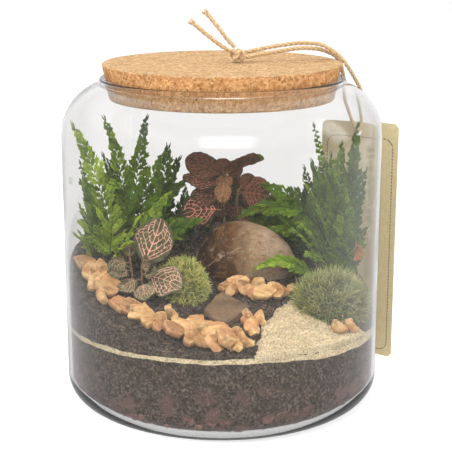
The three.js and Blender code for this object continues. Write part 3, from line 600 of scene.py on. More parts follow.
def cornerArc(centreX, centreY, radius, start, end, steps):
    spots = []
    for i in range(steps + 1):
        angle = radians(mix(start, end, i / steps))
        spots.append((centreX + radius * cos(angle), centreY + radius * sin(angle)))
    return spots


def stoneBall(level):
    bpy.ops.mesh.primitive_ico_sphere_add(subdivisions=level, radius=1)
    ball = bpy.context.object
    mesh = ball.data
    points = np.array([v.co[:] for v in mesh.vertices])
    faces = np.array([p.vertices[:] for p in mesh.polygons])
    bpy.data.objects.remove(ball)
    bpy.data.meshes.remove(mesh)
    return points, faces


def gaussVector(draw, spread=1, count=3):
    return [draw.gauss(0, spread) for _ in range(count)]


def turnedBy(draw):
    return np.array(Quaternion(gaussVector(draw, count=4)).normalized().to_matrix())


# The layers' surfaces, the same as in the CAD
jar = {
    "radius": 115.0,
    "wall": 2.2,
    "floor": 4.0,
    "baseCorner": 17.65,
    "wallTop": 193.7,
    "shoulder": 39.0,
    "shoulderEnd": 74,
    "lipTop": 234.9,
    "lipRadius": 87.2,
    "throat": 83.4,
}
layers = {"gap": 0.35, "sandThick": 3.4, "crumbLow": 0.3}
innerRadius = jar["radius"] - jar["wall"]
innerCorner = jar["baseCorner"] - jar["wall"]
fillRadius = innerRadius - layers["gap"]
heapOutline = [(24, -92), (23, -118), (60, -112), (90, -84), (108, -56), (97, -50), (76, -53),
               (60, -36), (51, -25), (40, -36), (27, -62)]


def sandBase(x):
    return 59.2 - 0.0003 * x * x


def sandTop(x):
    return sandBase(x) + layers["sandThick"]


def soilTop(x, y):
    slope = 58 + 0.21 * (y + innerRadius)
    leftBank = 0.2 * max(0, -x - 12)
    rightDip = 0.18 * max(0, x - 50)
    return max(slope + leftBank - rightDip, sandTop(x) + 1.5)


def heapDepth(x, y):
    # how far a spot is inside the heap's outline, negative outside
    inside = False
    nearest = 1e9
    for i, (ax, ay) in enumerate(heapOutline):
        bx, by = heapOutline[(i + 1) % len(heapOutline)]
        if (ay > y) != (by > y) and x < (bx - ax) * (y - ay) / (by - ay) + ax:
            inside = not inside
        dx, dy = bx - ax, by - ay
        t = clamp(((x - ax) * dx + (y - ay) * dy) / (dx * dx + dy * dy))
        nearest = min(nearest, hypot(x - ax - t * dx, y - ay - t * dy))
    return nearest if inside else -nearest


def heapEdge(x, y):
    return heapDepth(x, y) + 2.2 * wobble(x, y, 3, 9)


def soilSurface(x, y):
    lumps = 1.1 * wobble(x, y, 0, 13) + 0.7 * wobble(x, y, 5, 5) + 0.35 * wobble(x, y, 9, 2.2)
    sunk = 3.0 * smooth((heapEdge(x, y) + 1.5) / 3)
    return soilTop(x, y) + lumps - sunk


def sandLine(x, y):
    # the wavy top of the sand where it shows on the glass
    return sandTop(x) + 1.1 * wobble(x, y, 40, 17) + 0.7 * wobble(x, y, 44, 6)


def sandSurface(x, y):
    rise = smooth((heapEdge(x, y) + 1.2) / 2.4)
    crown = 1.6 * smooth(heapDepth(x, y) / 16)
    drift = 0.7 * wobble(x, y, 2, 11) + 0.3 * wobble(x, y, 6, 3)
    return mix(sandLine(x, y), soilTop(x, y) + 0.3 + crown + drift, rise)


def sandUnder(x, y):
    # the layer is deeper at the front right, below the heap
    deeper = 3.2 * smooth((x - 35) / 45) * smooth(-y / 40)
    return sandBase(x) - deeper + 0.9 * wobble(x, y, 60, 14) + 0.5 * wobble(x, y, 64, 5)


def layerPile(topAt, floorAt, rings, sides, wallRows, dent):
    # a filled disc whose rim lies against the glass
    pile = Pile()
    points = [(0, 0, topAt(0, 0))]
    for i in range(1, rings + 1):
        radius = fillRadius * (i / rings) ** 0.85
        for k in range(sides):
            a, b = around(k, sides)
            points.append((radius * a, radius * b, topAt(radius * a, radius * b)))
    rim = points[-sides:]
    for row in range(1, wallRows + 1):
        for x, y, high in rim:
            height = mix(high, floorAt(x, y), row / wallRows)
            inset = 1 - dent * abs(wobble(x, y, height, 2.6)) / fillRadius if row < wallRows else 1
            points.append((x * inset, y * inset, height))
    points.append((0, 0, floorAt(0, 0)))
    last = len(points) - 1
    faces = fanFaces(0, 1, sides) + netFaces(rings + wallRows - 1, sides, 1)
    pile.add(points, faces + flipped(fanFaces(last, last - sides, sides)))
    return pile


def addCrumbs(pile, count, heightAt, sizes, seed, keep):
    draw = random.Random(seed)
    ball, ballFaces = stoneBall(1)
    made = 0
    while made < count:
        radius = (fillRadius - 2) * sqrt(draw.random())
        angle = draw.uniform(0, 2 * pi)
        x, y = radius * cos(angle), radius * sin(angle)
        if not keep(x, y):
            continue
        size = sizes[0] * (sizes[1] / sizes[0]) ** (draw.random() ** 2)
        shape = ball * (size * np.array([draw.uniform(0.7, 1.2) for _ in range(3)]))
        shape = shape * (1 + 0.22 * np.sin(ball[:, [1]] * 5 + made) * np.cos(ball[:, [0]] * 4))
        spot = np.array([x, y, heightAt(x, y) + size * layers["crumbLow"]])
        pile.add(shape @ turnedBy(draw).T + spot, ballFaces, 0, draw.uniform(0.1, 1))
        made += 1


# An arched stalk or blade, the same as in the CAD
class Arch:
    def __init__(self, base, turn, rise, fall, length, roll=0.0):
        self.base = np.array(base, float)
        self.length = length
        self.start = radians(rise)
        self.bend = radians(fall - rise)
        self.out = np.array([cos(radians(turn)), sin(radians(turn)), 0.0])
        self.side = np.array([-self.out[1], self.out[0], 0.0])
        self.twist = radians(roll)

    def at(self, u):
        # place, sideways and normal for an array of distances from the foot
        u = np.asarray(u, float)
        top = np.array([0, 0, 1.0])
        share = np.clip(u / self.length, 0, 1)
        angle = self.start + self.bend * share
        along = np.cos(angle)[:, None] * self.out + np.sin(angle)[:, None] * top
        run = self.length * (np.sin(angle) - sin(self.start)) / self.bend
        climb = -self.length * (np.cos(angle) - cos(self.start)) / self.bend
        spot = self.base + run[:, None] * self.out + climb[:, None] * top
        spot = spot + along * (u - share * self.length)[:, None]
        across = self.side * cos(self.twist) + np.cross(along, self.side) * sin(self.twist)
        return spot, across, np.cross(along, across)

    def stalk(self, pile, low, steps, thick, thin, sides, slot, tone):
        run = np.linspace(low, self.length, steps)
        radii = [thick * mix(1, thin, clamp(u / self.length)) for u in run]
        tubeAlong(pile, self.at(run)[0], radii, sides, slot, tone)


# Ferns
fern = {
    "thick": 0.13,
    "cup": 0.012,
    "rib": 0.5,
    "root": 6.0,
    "narrowing": 0.6,
    "slant": (56, 26),
    "closeness": 1.65,
    "farthest": 5.4,
    "leafWidth": 0.52,
    "lobe": 6.0,
    "mostLobes": 9,
}
dryLeaflet = {"frond": "fern_right_6", "place": (96, -14, 103), "length": 13, "width": 4.4}
# x, y, turn, rise, fall, length, reach, pairs, roll, stalk, tone (low for the fronds at the back, painted
# dark as shade);
# the first of each node is the frond itself, and the others are smaller ones from the same root
ferns = {
    "fern_left_1": [
        (-79, 2, 182, 86, 63, 110, 17, 9, -78, 0.2, 0.6), (-76, -4, 205, 84, 58, 52, 13, 6, -30, 0.2, 0.82),
        (-81, -1, 196, 80, 30, 44, 15, 6, -40, 0.2, 0.75)],
    "fern_left_2": [
        (-70, 18, 172, 92, 70, 108, 15, 9, -74, 0.22, 0.46),
        (-72, 26, 200, 88, 66, 78, 16, 7, -70, 0.2, 0.2), (-68, 22, 178, 88, 50, 72, 17, 7, -60, 0.24, 0.5)],
    "fern_left_3": [
        (-68, 36, 8, 90, 76, 102, 15, 9, 74, 0.24, 0.38), (-58, 32, 350, 84, 40, 62, 15, 6, 60, 0.2, 0.16),
        (-52, 36, 20, 86, 60, 74, 16, 6, 60, 0.2, 0.14), (-64, 38, 6, 82, 24, 66, 17, 7, 62, 0.24, 0.28),
        (-66, 30, 12, 88, 58, 78, 15, 6, 66, 0.3, 0.36)],
    "fern_left_4": [
        (-47, 27, 20, 90, 80, 86, 14, 5, 76, 0.5, 0.2), (-24, 42, 100, 86, 60, 42, 14, 6, 50, 0.2, 0.1),
        (5, 48, 60, 88, 84, 56, 14, 5, 60, 0.2, 0.1), (-8, 46, 100, 88, 70, 54, 14, 5, 50, 0.2, 0.12),
        (-42, 32, 5, 78, 24, 56, 14, 6, 60, 0.2, 0.12), (-45, 30, 14, 76, 10, 46, 13, 5, 60, 0.2, 0.2)],
    "fern_left_5": [
        (-91, -8, 190, 90, 74, 80, 8, 7, -66, 0.3, 0.4), (-31, 46, 60, 88, 76, 48, 15, 6, 60, 0.2, 0.16),
        (-93, -10, 216, 80, 40, 34, 11, 5, -30, 0.2, 0.7)],
    "fern_left_6": [
        (-90, 16, 160, 84, 60, 46, 12, 5, -70, 0.2, 0.45), (-95, 8, 200, 84, 66, 42, 10, 5, -50, 0.15, 0.6),
        (-96, -4, 230, 80, 50, 30, 9, 5, -30, 0.15, 0.66),
        (-88, 22, 172, 88, 52, 58, 13, 6, -62, 0.2, 0.35)],
    "fern_left_7": [
        (-82, -8, 286, 84, 44, 56, 16, 6, 14, 0.24, 0.85), (-74, -6, 330, 84, 50, 50, 12, 6, 30, 0.2, 0.92),
        (-84, -4, 250, 82, 40, 42, 12, 6, 0, 0.2, 0.86), (-79, -11, 300, 76, 14, 44, 14, 6, 20, 0.2, 0.9)],
    "fern_left_8": [
        (-58, 14, 352, 66, 8, 58, 15, 7, 56, 0.22, 0.3), (-62, 8, 20, 84, 46, 60, 13, 6, 50, 0.2, 0.56),
        (-60, 20, 4, 72, 14, 44, 14, 6, 58, 0.2, 0.22)],
    "fern_right_1": [
        (84, 28, 184, 98, -34, 106, 20, 9, -36, 0.22, 0.4), (74, 40, 186, 92, 40, 60, 16, 7, -60, 0.2, 0.2),
        (70, 34, 178, 88, 4, 58, 15, 7, -56, 0.2, 0.34), (82, 34, 176, 92, 10, 92, 19, 8, -52, 0.24, 0.32),
        (78, 26, 190, 84, -10, 66, 15, 7, -44, 0.2, 0.45)],
    "fern_right_2": [
        (85, 50, 168, 90, 74, 108, 7, 8, -70, 0.4, 0.5), (80, 54, 172, 90, 80, 66, 15, 7, -70, 0.2, 0.24),
        (84, 56, 172, 88, 72, 70, 14, 7, -66, 0.3, 0.3)],
    "fern_right_3": [
        (97, 22, 340, 92, 84, 120, 17, 8, 74, 0.2, 0.3), (92, 14, 260, 90, 60, 88, 13, 7, 0, 0.2, 0.44),
        (94, 32, 20, 92, 76, 96, 14, 7, 70, 0.2, 0.26), (88, 30, 184, 92, 80, 92, 14, 7, -70, 0.2, 0.3),
        (96, 30, 350, 90, 70, 84, 15, 7, 66, 0.2, 0.34)],
    "fern_right_4": [
        (90, 38, 20, 92, 86, 98, 16, 8, 70, 0.2, 0.36), (84, 22, 215, 88, 50, 84, 14, 7, -30, 0.2, 0.46),
        (90, 34, 172, 90, 76, 84, 16, 8, -70, 0.2, 0.38), (86, 42, 184, 90, 66, 84, 17, 7, -68, 0.24, 0.28)],
    "fern_right_5": [
        (76, 66, 176, 88, 72, 66, 11, 5, -64, 0.34, 0.22), (27, 52, 90, 86, 60, 38, 13, 5, 60, 0.2, 0.12),
        (15, 52, 120, 88, 74, 46, 14, 5, 70, 0.2, 0.08), (62, 28, 80, 90, 85, 62, 6, 4, 70, 0.76, 0.0),
        (74, 60, 182, 84, 30, 58, 15, 7, -60, 0.24, 0.22)],
    "fern_right_6": [
        (88, 8, 262, 82, 20, 58, 17, 5, -10, 0.2, 0.5), (86, 0, 225, 74, 24, 46, 12, 5, -20, 0.2, 0.6),
        (84, 14, 200, 84, 30, 62, 14, 6, -40, 0.2, 0.4), (92, 4, 286, 84, 34, 46, 15, 5, -6, 0.2, 0.42)],
    "fern_right_7": [
        (74, -4, 190, 72, -30, 62, 13, 7, -30, 0.2, 0.62)],
    "fern_right_8": [
        (74, 16, 222, 84, 20, 58, 16, 6, -30, 0.2, 0.5), (72, 2, 205, 62, 6, 40, 12, 5, -30, 0.2, 0.72),
        (70, 22, 200, 84, 30, 60, 14, 6, -40, 0.2, 0.26), (78, 10, 236, 78, 4, 46, 14, 5, -24, 0.2, 0.6)],
    "fern_right_9": [
        (93, 15, 350, 92, 80, 64, 12, 5, 70, 0.22, 0.35), (92, 2, 250, 82, 48, 54, 12, 6, 0, 0.2, 0.52),
        (92, 18, 176, 88, 60, 66, 13, 6, -60, 0.2, 0.3), (95, 10, 338, 90, 56, 50, 13, 5, 60, 0.2, 0.3)],
}


def pinnaPattern(lobes):
    # a leaflet's flat outline, cut into pointed teeth: share along it, half width, how far the edge leans on
    rows = [(0.0, 0.12, 0.0)]
    if lobes == 1:
        rows += [(0.22, 0.6, 0.0), (0.45, 0.95, 0.1), (0.6, 0.85, 0.3), (0.66, 0.6, 0.0), (0.84, 0.42, 0.1)]
    else:
        for k in range(lobes):
            for far, wide, lean in ((0.2, 0.5, 0.1), (0.5, 0.95, 0.4), (0.7, 1.05, 1.0), (0.98, 0.4, 0.2)):
                share = (k + far) * (1 / (lobes + 0.5))
                rows.append((share, wide * sin(pi * mix(0.22, 0.95, share)) ** 0.8, lean))
    rows.append((1.0, 0.04, 0.0))
    return np.array(rows), flipped(netFaces(len(rows) - 1, 2, closed=False))


pinnaPatterns = {lobes: pinnaPattern(lobes) for lobes in range(1, fern["mostLobes"] + 1)}


def addPinna(pile, arch, rootX, ribHalf, side, reach, slant, wide, lobes, tone, draw, slot=0):
    rows, faces = pinnaPatterns[lobes]
    share = rows[:, 0]
    angle = slant + draw.uniform(-0.1, 0.1) - draw.uniform(0.12, 0.42) * share
    ribX = rootX + reach * share * np.cos(angle)
    ribY = ribHalf * 0.5 + reach * share * np.sin(angle)
    twist = draw.uniform(-0.7, 0.7)
    rise = draw.uniform(-0.25, 0.12) * reach
    wave = draw.uniform(0, 6.28)
    spots = np.zeros((len(rows), 3, 2))
    lifts = np.zeros((len(rows), 3))
    for column, hand in enumerate((1, 0, -1)):
        off = hand * wide * rows[:, 1]
        lean = rows[:, 2] * wide * abs(hand)
        spots[:, column, 0] = ribX - np.sin(angle) * off + np.cos(angle) * lean
        spots[:, column, 1] = ribY + np.cos(angle) * off + np.sin(angle) * lean
        ripple = 0.2 * np.sin(8 * share + wave)
        lifts[:, column] = 0.25 * np.abs(off) + twist * off + rise * share ** 2 + ripple
    spots = spots.reshape(-1, 2)
    spots[:, 1] = np.maximum(spots[:, 1], 0.1) * side
    place, sideways, normal = arch.at(spots[:, 0])
    droop = lifts.ravel() - fern["cup"] * spots[:, 1] ** 2
    points = place + sideways * spots[:, [1]] + normal * droop[:, None]
    shade = np.tile([tone + 0.05, tone - 0.14, tone + 0.05], len(rows)) + 0.1 * np.repeat(share, 3)
    addPlate(pile, ("pinna", lobes, side), faces if side > 0 else flipped(faces), points, normal,
             fern["thick"], slot, shade)


def addFrond(pile, row, draw):
    x, y, turn, rise, fall, length, reach, pairs, roll, stalk, base = row
    arch = Arch((x, y, soilTop(x, y)), turn, rise, fall, length, roll)
    arch.stalk(pile, -fern["root"], 40, fern["rib"], 0.3, 6, 1, base * 0.6)
    bladeStart = length * stalk
    leafy = length - bladeStart
    rows = max(round(fern["closeness"] * pairs), round(leafy / fern["farthest"]))
    pitch = leafy / (rows + 0.8)
    for i in range(rows):
        share = i / rows
        # widest a quarter of the way up, and slender towards the tip
        swell = min(1, fern["narrowing"] + 2 * share) * (1 - share) ** 0.7 + 0.08
        for side in (1, -1):
            long = 1.15 * reach * swell * draw.uniform(0.72, 1.12)
            slant = radians(mix(*fern["slant"], share))
            lobes = max(1, min(fern["mostLobes"], round(long / fern["lobe"])))
            wide = fern["leafWidth"] * pitch * mix(1.05, 0.7, share) * draw.uniform(0.8, 1.15)
            rootX = bladeStart + (i + 0.45 + 0.2 * side) * pitch
            tone = clamp(base + draw.uniform(-0.16, 0.16) + 0.14 * share)
            addPinna(pile, arch, rootX, fern["rib"], side, long, slant, wide, lobes, tone, draw)
    tip = pitch * 1.3
    for side in (1, -1):
        addPinna(pile, arch, length - tip * 0.6, 0.1, side, tip, 0.3, 0.6, 1, base, draw)


def makeFern(name, finishes):
    draw = random.Random(name)
    pile = Pile()
    for row in ferns[name]:
        addFrond(pile, row, draw)
    if name == dryLeaflet["frond"]:
        stalk = Arch(dryLeaflet["place"], 250, 76, 84, 14)
        addPinna(pile, stalk, 0, 0.1, 1, dryLeaflet["length"], 0.7, dryLeaflet["width"], 3, 0.6, draw, 2)
    pile.piece(name, "_leaf", "fern", finishes, 70)


# Net-veined plants
netleaf = {
    "thick": 0.16,
    "steps": 30,
    "columns": 16,
    "veinThick": 0.36,
    "sideVeins": 5,
    "quilts": 6.5,
    "quiltLean": 0.9,
}
leafyStems = [
    # name, x, y, turn, rise, length, thick, slot, leaves of
    # (at, turn, rise, fall, length, width, stem, roll, curl, tone, how pink the veins are, finish); a low
    # tone paints a leaf deep in the cluster dark as shade
    ("netleaf_front_1", -57, -30, 270, 84, 20, 1, "netleaf", [
        (0.95, 354, 62, 74, 35, 14, 4, -86, 0.5, 0.5, 1.0, 0),
        (0.8, 296, 45, 25, 15, 6.6, 4, 88, 0.6, 0.4, 0.7, 0),
        (0.6, 334, 6, -24, 26, 13, 7, 48, 0.7, 0.55, 1.0, 0),
        (0.3, 279, 8, -32, 20, 8.5, 6, 14, 0.8, 0.6, 0.9, 0),
        (0.6, 304, 35, 3, 17, 5.5, 5, 58, 0.7, 0.35, 0.5, 0),
        (0.45, 222, 8, -28, 18, 9, 6, -17, 0.9, 0.6, 0.4, 0)]),
    ("netleaf_front_2", -64, -24, 200, 86, 18, 0.9, "netleaf", [
        (0.98, 101, 59, 71, 12, 7.6, 4, -16, 0.6, 0.4, 0.2, 0),
        (0.94, 226, 14, -20, 15, 7.2, 5, -23, 0.7, 0.35, 0.5, 0),
        (0.6, 238, 20, -8, 19, 6.8, 5, 150, 0.6, 0.5, 0.95, 0),
        (0.7, 194, 36, 16, 12, 5.6, 4, -58, 0.8, 0.3, 0.2, 0)]),
    ("netleaf_back_1", 2, 42, 262, 87, 66, 1.2, "netleaf_dark", [
        (0.97, 173, 33, 13, 28, 12, 4, -52, 0.8, 0.48, 0.4, 0),
        (0.99, 14, 32, 8, 26, 8.5, 5, 43, 2.4, 0.45, 0.3, 0),
        (0.99, 14, 27, 11, 13, 7.5, 3, 47, 1.0, 0.42, 0.3, 0),
        (0.99, 16, 21, 17, 12, 5, 22, 43, 1.6, 0.5, 0.3, 3),
        (0.9, 142, 48, 32, 20, 9, 3, -40, 1.0, 0.35, 0.2, 0),
        (0.84, 190, 27, 3, 28, 9, 5, -36, 0.9, 0.4, 0.7, 0),
        (0.72, 190, 15, -13, 22, 9, 4, -64, 0.9, 0.28, 0.6, 0),
        (0.8, 92, 112, 124, 13.5, 7.4, 3, 2, 0.6, 0.74, 1.0, 0),
        (0.95, 266, -46, -72, 18, 7.2, 2, -4, 0.8, 0.72, 1.0, 0),
        (0.97, 95, 72, 52, 11, 8.5, 3, 0, 0.6, 0.46, 0.4, 0),
        (0.78, 179, -76, -92, 17, 10, 3, 90, 0.8, 0.14, 0.3, 0),
        (0.66, 129, -30, -82, 19, 11, 3, 52, 0.8, 0.08, 0.1, 0),
        (0.9, 83, -12, -32, 13, 9, 3, 53, 0.8, 0.2, 0.1, 0),
        (0.56, 203, 16, -16, 28, 13, 7, -65, 0.7, 0.3, 1.0, 0)]),
    ("netleaf_back_2", 9, 51, 320, 87, 50, 1.2, "netleaf_dark", [
        (0.92, 344, 15, -17, 20, 15.5, 5, 62, 0.8, 0.5, 0.6, 0),
        (0.95, 74, -55, -115, 16, 11, 3, -16, 0.8, 0.1, 0.2, 0),
        (0.8, 282, -60, -76, 12, 10, 3, 12, 0.8, 0.12, 0.4, 0),
        (0.98, 356, -19, -71, 25, 11, 3, 65, 0.9, 0.18, 0.5, 0),
        (0.98, 16, 44, 32, 14, 8, 3, 59, 0.9, 0.5, 0.5, 0),
        (0.55, 303, 17, -11, 14, 4.4, 5, 42, 0.8, 0.6, 0.9, 0),
        (0.8, 92, 66, 54, 18, 8, 4, -2, 0.9, 0.3, 0.2, 0)]),
]


class LeafForm:
    # the curved surface of one leaf: u runs from its foot to its tip, v from -1 to 1 across
    def __init__(self, base, leaf, seed):
        turn, rise, fall, self.length, self.width, self.stem, roll = leaf[1:8]
        self.curl, self.tone, self.pink, self.skin = leaf[8:]
        self.arch = Arch(base, turn, rise, fall, self.length + self.stem, roll)
        self.seed = seed

    def half(self, u):
        # full near the foot and drawn out to a point
        swell = np.sin(pi * np.power(np.clip(u, 0, 1), 0.95))
        return self.width * np.power(np.clip(swell, 0, 1), 0.52) * (1.03 - 0.14 * np.clip(u, 0, 1) ** 3) + 0.1

    def quilt(self, u, v):
        return np.cos(2 * pi * (u * netleaf["quilts"] - netleaf["quiltLean"] * np.abs(v)))

    def spots(self, u, v):
        edge = 1 + (0.02 * np.sin(u * 34 + self.seed) + 0.025 * np.sin(u * 8 + 2 * self.seed)) * np.abs(v)
        y = v * self.half(u) * edge
        # the halves bend round the midrib, down at the edges, or up where the leaf is rolled
        turn = np.abs(y) / self.width * self.curl
        radius = self.width / self.curl
        across = np.sign(y) * radius * np.sin(turn)
        drop = radius * (1 - np.cos(turn)) * (1 if self.curl > 1.5 else -1)
        quilt = -0.5 * self.quilt(u, v) * np.minimum(1, np.abs(v) * 3) * np.sin(pi * u) ** 0.5
        wave = 0.08 * self.width * np.sin(u * 8 + self.seed + np.sign(v)) * v * v
        high = 0.28 * np.abs(across) + drop + quilt + wave
        place, sideways, normal = self.arch.at(u * self.length + self.stem)
        return place + sideways * across[:, None] + normal * high[:, None], normal


def addLeaf(pile, form):
    steps, columns = netleaf["steps"], netleaf["columns"]
    shares = (1 - np.cos(pi * np.linspace(0, 1, steps + 1))) / 2
    u, v = (grid.ravel() for grid in np.meshgrid(shares, np.linspace(-1, 1, columns + 1), indexing="ij"))
    points, normals = form.spots(u, v)
    # the quilt's hollows are painted darker as shade and its puffs lighter; the leaf also darkens towards its
    # edges
    tones = form.tone - 0.1 * form.quilt(u, v) - 0.1 * v ** 4
    addPlate(pile, "leaf", netFaces(steps, columns, closed=False), points, normals, netleaf["thick"],
             form.skin, tones)
    draw = random.Random(form.seed)

    def vein(us, vs, thick, thin):
        spots, _ = form.spots(np.array(us), np.array(vs))
        radii = [mix(thick, thin, i / (len(us) - 1)) for i in range(len(us))]
        tubeAlong(pile, spots, radii, 5, 1, form.pink)

    def link(a, b, size, thin, kink=(0, 0), out=1):
        # a vein from one spot to another with a kink in its middle
        middle = [mix(a[0], b[0], 0.5) + kink[0], mix(a[1], b[1], 0.5) * out + kink[1]]
        vein([a[0], middle[0], b[0]], [a[1], middle[1], b[1]], size * 0.7, size * thin)

    size = netleaf["veinThick"] * (0.25 + form.width / 15)
    vein(np.linspace(0.0, 0.985, 24), np.zeros(24), size * 1.35, size * 0.6)
    pairs = netleaf["sideVeins"]
    for side in (1, -1):
        sideVeins = []
        for k in range(pairs):
            start = 0.8 * (k / pairs) ** 1.25
            end = mix(0.36, 0.99, ((k + 0.4) / pairs) ** 0.75)
            far = mix(0.93, 0.5, (k / (pairs - 1)) ** 2)
            t = np.linspace(0, 1, 11)
            us = start + (end - start) * t ** 1.25
            vs = side * far * t ** 0.85 * (1 + 0.05 * np.sin(t * 11 + 2 * k + form.seed))
            sideVeins.append(list(zip(us, vs)))
            vein(us, vs, size, size * 0.7)
        for low, high in zip(sideVeins, sideVeins[1:]):
            # a loop near the edge joins each vein to the next, and kinked links cross between them
            link(low[-1], high[-2], size, 0.7, out=1.02)
            for at in (3, 5, 7, 9):
                kink = (draw.uniform(-0.015, 0.015), side * draw.uniform(-0.05, 0.05))
                link(low[at], high[at - 1], size, 0.62, kink)


def makeNetleaf(row, finishes):
    name, x, y, turn, rise, length, thick, slot, leaves = row
    pile = Pile()
    stem = Arch((x, y, soilTop(x, y)), turn, rise, rise - 4, length)
    stem.stalk(pile, -6, 16, thick, 0.75, 8, 2, 0.5)
    for k, leaf in enumerate(leaves):
        form = LeafForm(stem.at([leaf[0] * length])[0][0], leaf, 3.1 * k + len(name) + x)
        stalk = form.arch.at(np.linspace(-0.5, form.stem + 1, 8))[0]
        tubeAlong(pile, stalk, [0.75, 0.7, 0.65, 0.6, 0.58, 0.56, 0.54, 0.5], 7, 2)
        addLeaf(pile, form)
    pile.piece(name, "_leaf", slot, finishes, 60)


# Moss
moss = {
    "tuft": 7.6,
    "bury": 3.0,
    "stand": 0.18,
    "blades": 4000,
    "bladeThick": 0.34,
}
cushions = {
    # x, y, half sizes, seed
    "moss_left": (-28.5, -24, (17, 15, 21), 80),
    "moss_right": (78, -31, (24, 19, 21), 81),
    "moss_back": (41, 56, (21, 13, 35), 82),
}


def makeMoss(name, finish):
    x, y, half, seed = cushions[name]
    half = np.array(half, float)
    draw = random.Random(seed)
    pile = Pile()
    centre = np.array([x, y, soilTop(x, y) + half[2] * moss["stand"]])

    def bulgeAt(p):
        return 0.95 + 0.12 * wobble(*(p * 2.1 + seed)) + 0.07 * wobble(*(p * 5))

    ball, ballFaces = stoneBall(5)
    core = ball * half * np.array([bulgeAt(p) for p in ball])[:, None] + centre
    floor = np.array([soilTop(p[0], p[1]) - moss["bury"] for p in core])
    core[:, 2] = np.maximum(core[:, 2], floor)
    # the core is painted dark, a little lighter on its top, as the shade inside the cushion
    pile.add(core, ballFaces, 0, np.clip(0.12 + 0.1 * ball[:, 2], 0, 1))
    faces = flipped(netFaces(1, 3)) + [(0, 2, 1)] + fanFaces(6, 3, 3)
    made = 0
    while made < moss["blades"]:
        way = unit(np.array(gaussVector(draw)))
        root = centre + way * half * bulgeAt(way)
        if root[2] < soilTop(root[0], root[1]) + 0.4:
            continue
        clump = wobble(*(way * 6.5))
        out = unit(unit(way / half) + np.array([0, 0, 0.3]) + np.array(gaussVector(draw, 0.48)))
        long = moss["tuft"] * (half[0] / 19) ** 1.4 * draw.uniform(0.4, 0.95) * (1 + 0.6 * clump)
        side = unit(np.cross(out, way + np.array([0.3, 0.1, 0.2])))
        other = np.cross(out, side)
        bend = side * draw.uniform(-0.5, 0.5) * long + np.array([0, 0, draw.uniform(-0.25, 0.15) * long])
        radius = moss["bladeThick"] * draw.uniform(0.7, 1.2)
        points = []
        for share, wide in ((-0.12, 1.0), (0.5, 0.85)):
            middle = root + out * long * share + bend * share * share
            for k in range(3):
                a, b = around(k, 3)
                points.append(middle + (side * a + other * b) * radius * wide)
        points.append(root + out * long + bend)
        # each blade is painted dark at its root as the shade inside the tuft, and lighter at its tip as
        # painted highlight
        base = clamp(0.5 + 0.4 * clump + draw.uniform(-0.35, 0.35))
        pile.add(points, faces, 0, [base * 0.15] * 3 + [base * 0.75] * 3 + [clamp(base + 0.3)])
        made += 1
    pile.piece(name, "_tufts", "moss", [finish], 80)


# Bark chips and the flat stone
def drawer(seed):
    # the same draw as the CAD's, so that each chip lies in the same place
    state = seed

    def draw(low=0.0, high=1.0):
        nonlocal state
        state = (state * 1664525 + 1013904223) % 4294967296
        return low + (high - low) * state / 4294967296

    return draw


chip = {
    "half": 2,
    "corners": 5,
    "size": 10,
    "shown": 0.8,
    "bulge": 0.56,
    "curl": 0.9,
    "sides": 40,
    "rings": (0.3, 0.55, 0.78, 0.94, 1.0),
    "standing": [(1, 0.1), (0.3, 0.42), (-0.8, 0.3), (-0.9, -0.3), (0.4, -0.45)],
}
trails = {
    # path, count, rows, spread, seed, size, clear, and the chips that stand up:
    # x, y, size, turn, how far it stands up, tone, seed
    "chips_left_bank": ([(-95, -14), (-92, -25), (-86, -37), (-80, -45)], 7, 2, 8, 21, 1, 0.5, [
        (-83, -31, 8, 10, 58, 0.8, 200), (-93, -20, 6, 200, 35, 0.6, 201), (-87, -39, 8, 30, 52, 0.9, 218),
        (-95, -29, 7, 120, 46, 0.65, 219), (-84, -55, 6, 320, 40, 0.75, 220)]),
    "chips_left_trail": ([(-70, -62), (-57, -68), (-44, -74)], 5, 1, 2, 33, 1, -0.8, [
        (-53, -65, 7, 150, 38, 0.75, 202)]),
    "chips_front": ([(-31, -80), (-17, -84), (-4, -88), (9, -90)], 11, 3, 15, 50, 1, 1.6, [
        (-37, -60, 8, 25, 55, 0.85, 203), (-6, -87, 6, 170, 40, 0.7, 204), (-6, -100, 8, 170, 48, 0.9, 210),
        (5, -99, 8, 20, 55, 0.7, 211), (10, -101, 7, 95, 42, 0.95, 212), (-32, -74, 7, 140, 50, 0.85, 213),
        (-45, -69, 7, 70, 44, 0.6, 214)]),
    "chips_front_right": ([(20, -63), (20, -69)], 2, 1, 0, 52, 0.75, -0.7, [
        (19, -59, 8, 160, 52, 0.85, 205), (15, -92, 8, 200, 50, 0.95, 215), (21, -76, 8, 60, 55, 0.7, 216),
        (26, -57, 7, 100, 50, 0.95, 217)]),
    "chips_by_boulder": ([(5, -12), (15, -15), (27, -20), (38, -24)], 6, 2, 6, 61, 0.9, 0.5, [
        (38, -16, 8, 35, 42, 0.9, 206), (6, -20, 8, 80, 50, 0.85, 207), (22, -25, 7, 10, 46, 0.8, 208),
        (44, -20, 7, 200, 52, 0.95, 221), (50, -14, 6, 70, 60, 1.0, 222)]),
    "chip_right": ([(79, -63), (88, -60)], 1, 1, 0, 74, 0.7, 1.2, [
        (89, -57, 8, 20, 48, 0.8, 209)]),
}


def trailSpot(path, share):
    # a place and a direction on the trail; the CAD runs a rounded line through the same points
    line, _ = smoothLine([(*spot, 0) for spot in path], 1.0)
    at = share * (len(line) - 1)
    low = min(int(at), len(line) - 2)
    return line[low].lerp(line[low + 1], at - low), (line[low + 1] - line[low]).normalized()


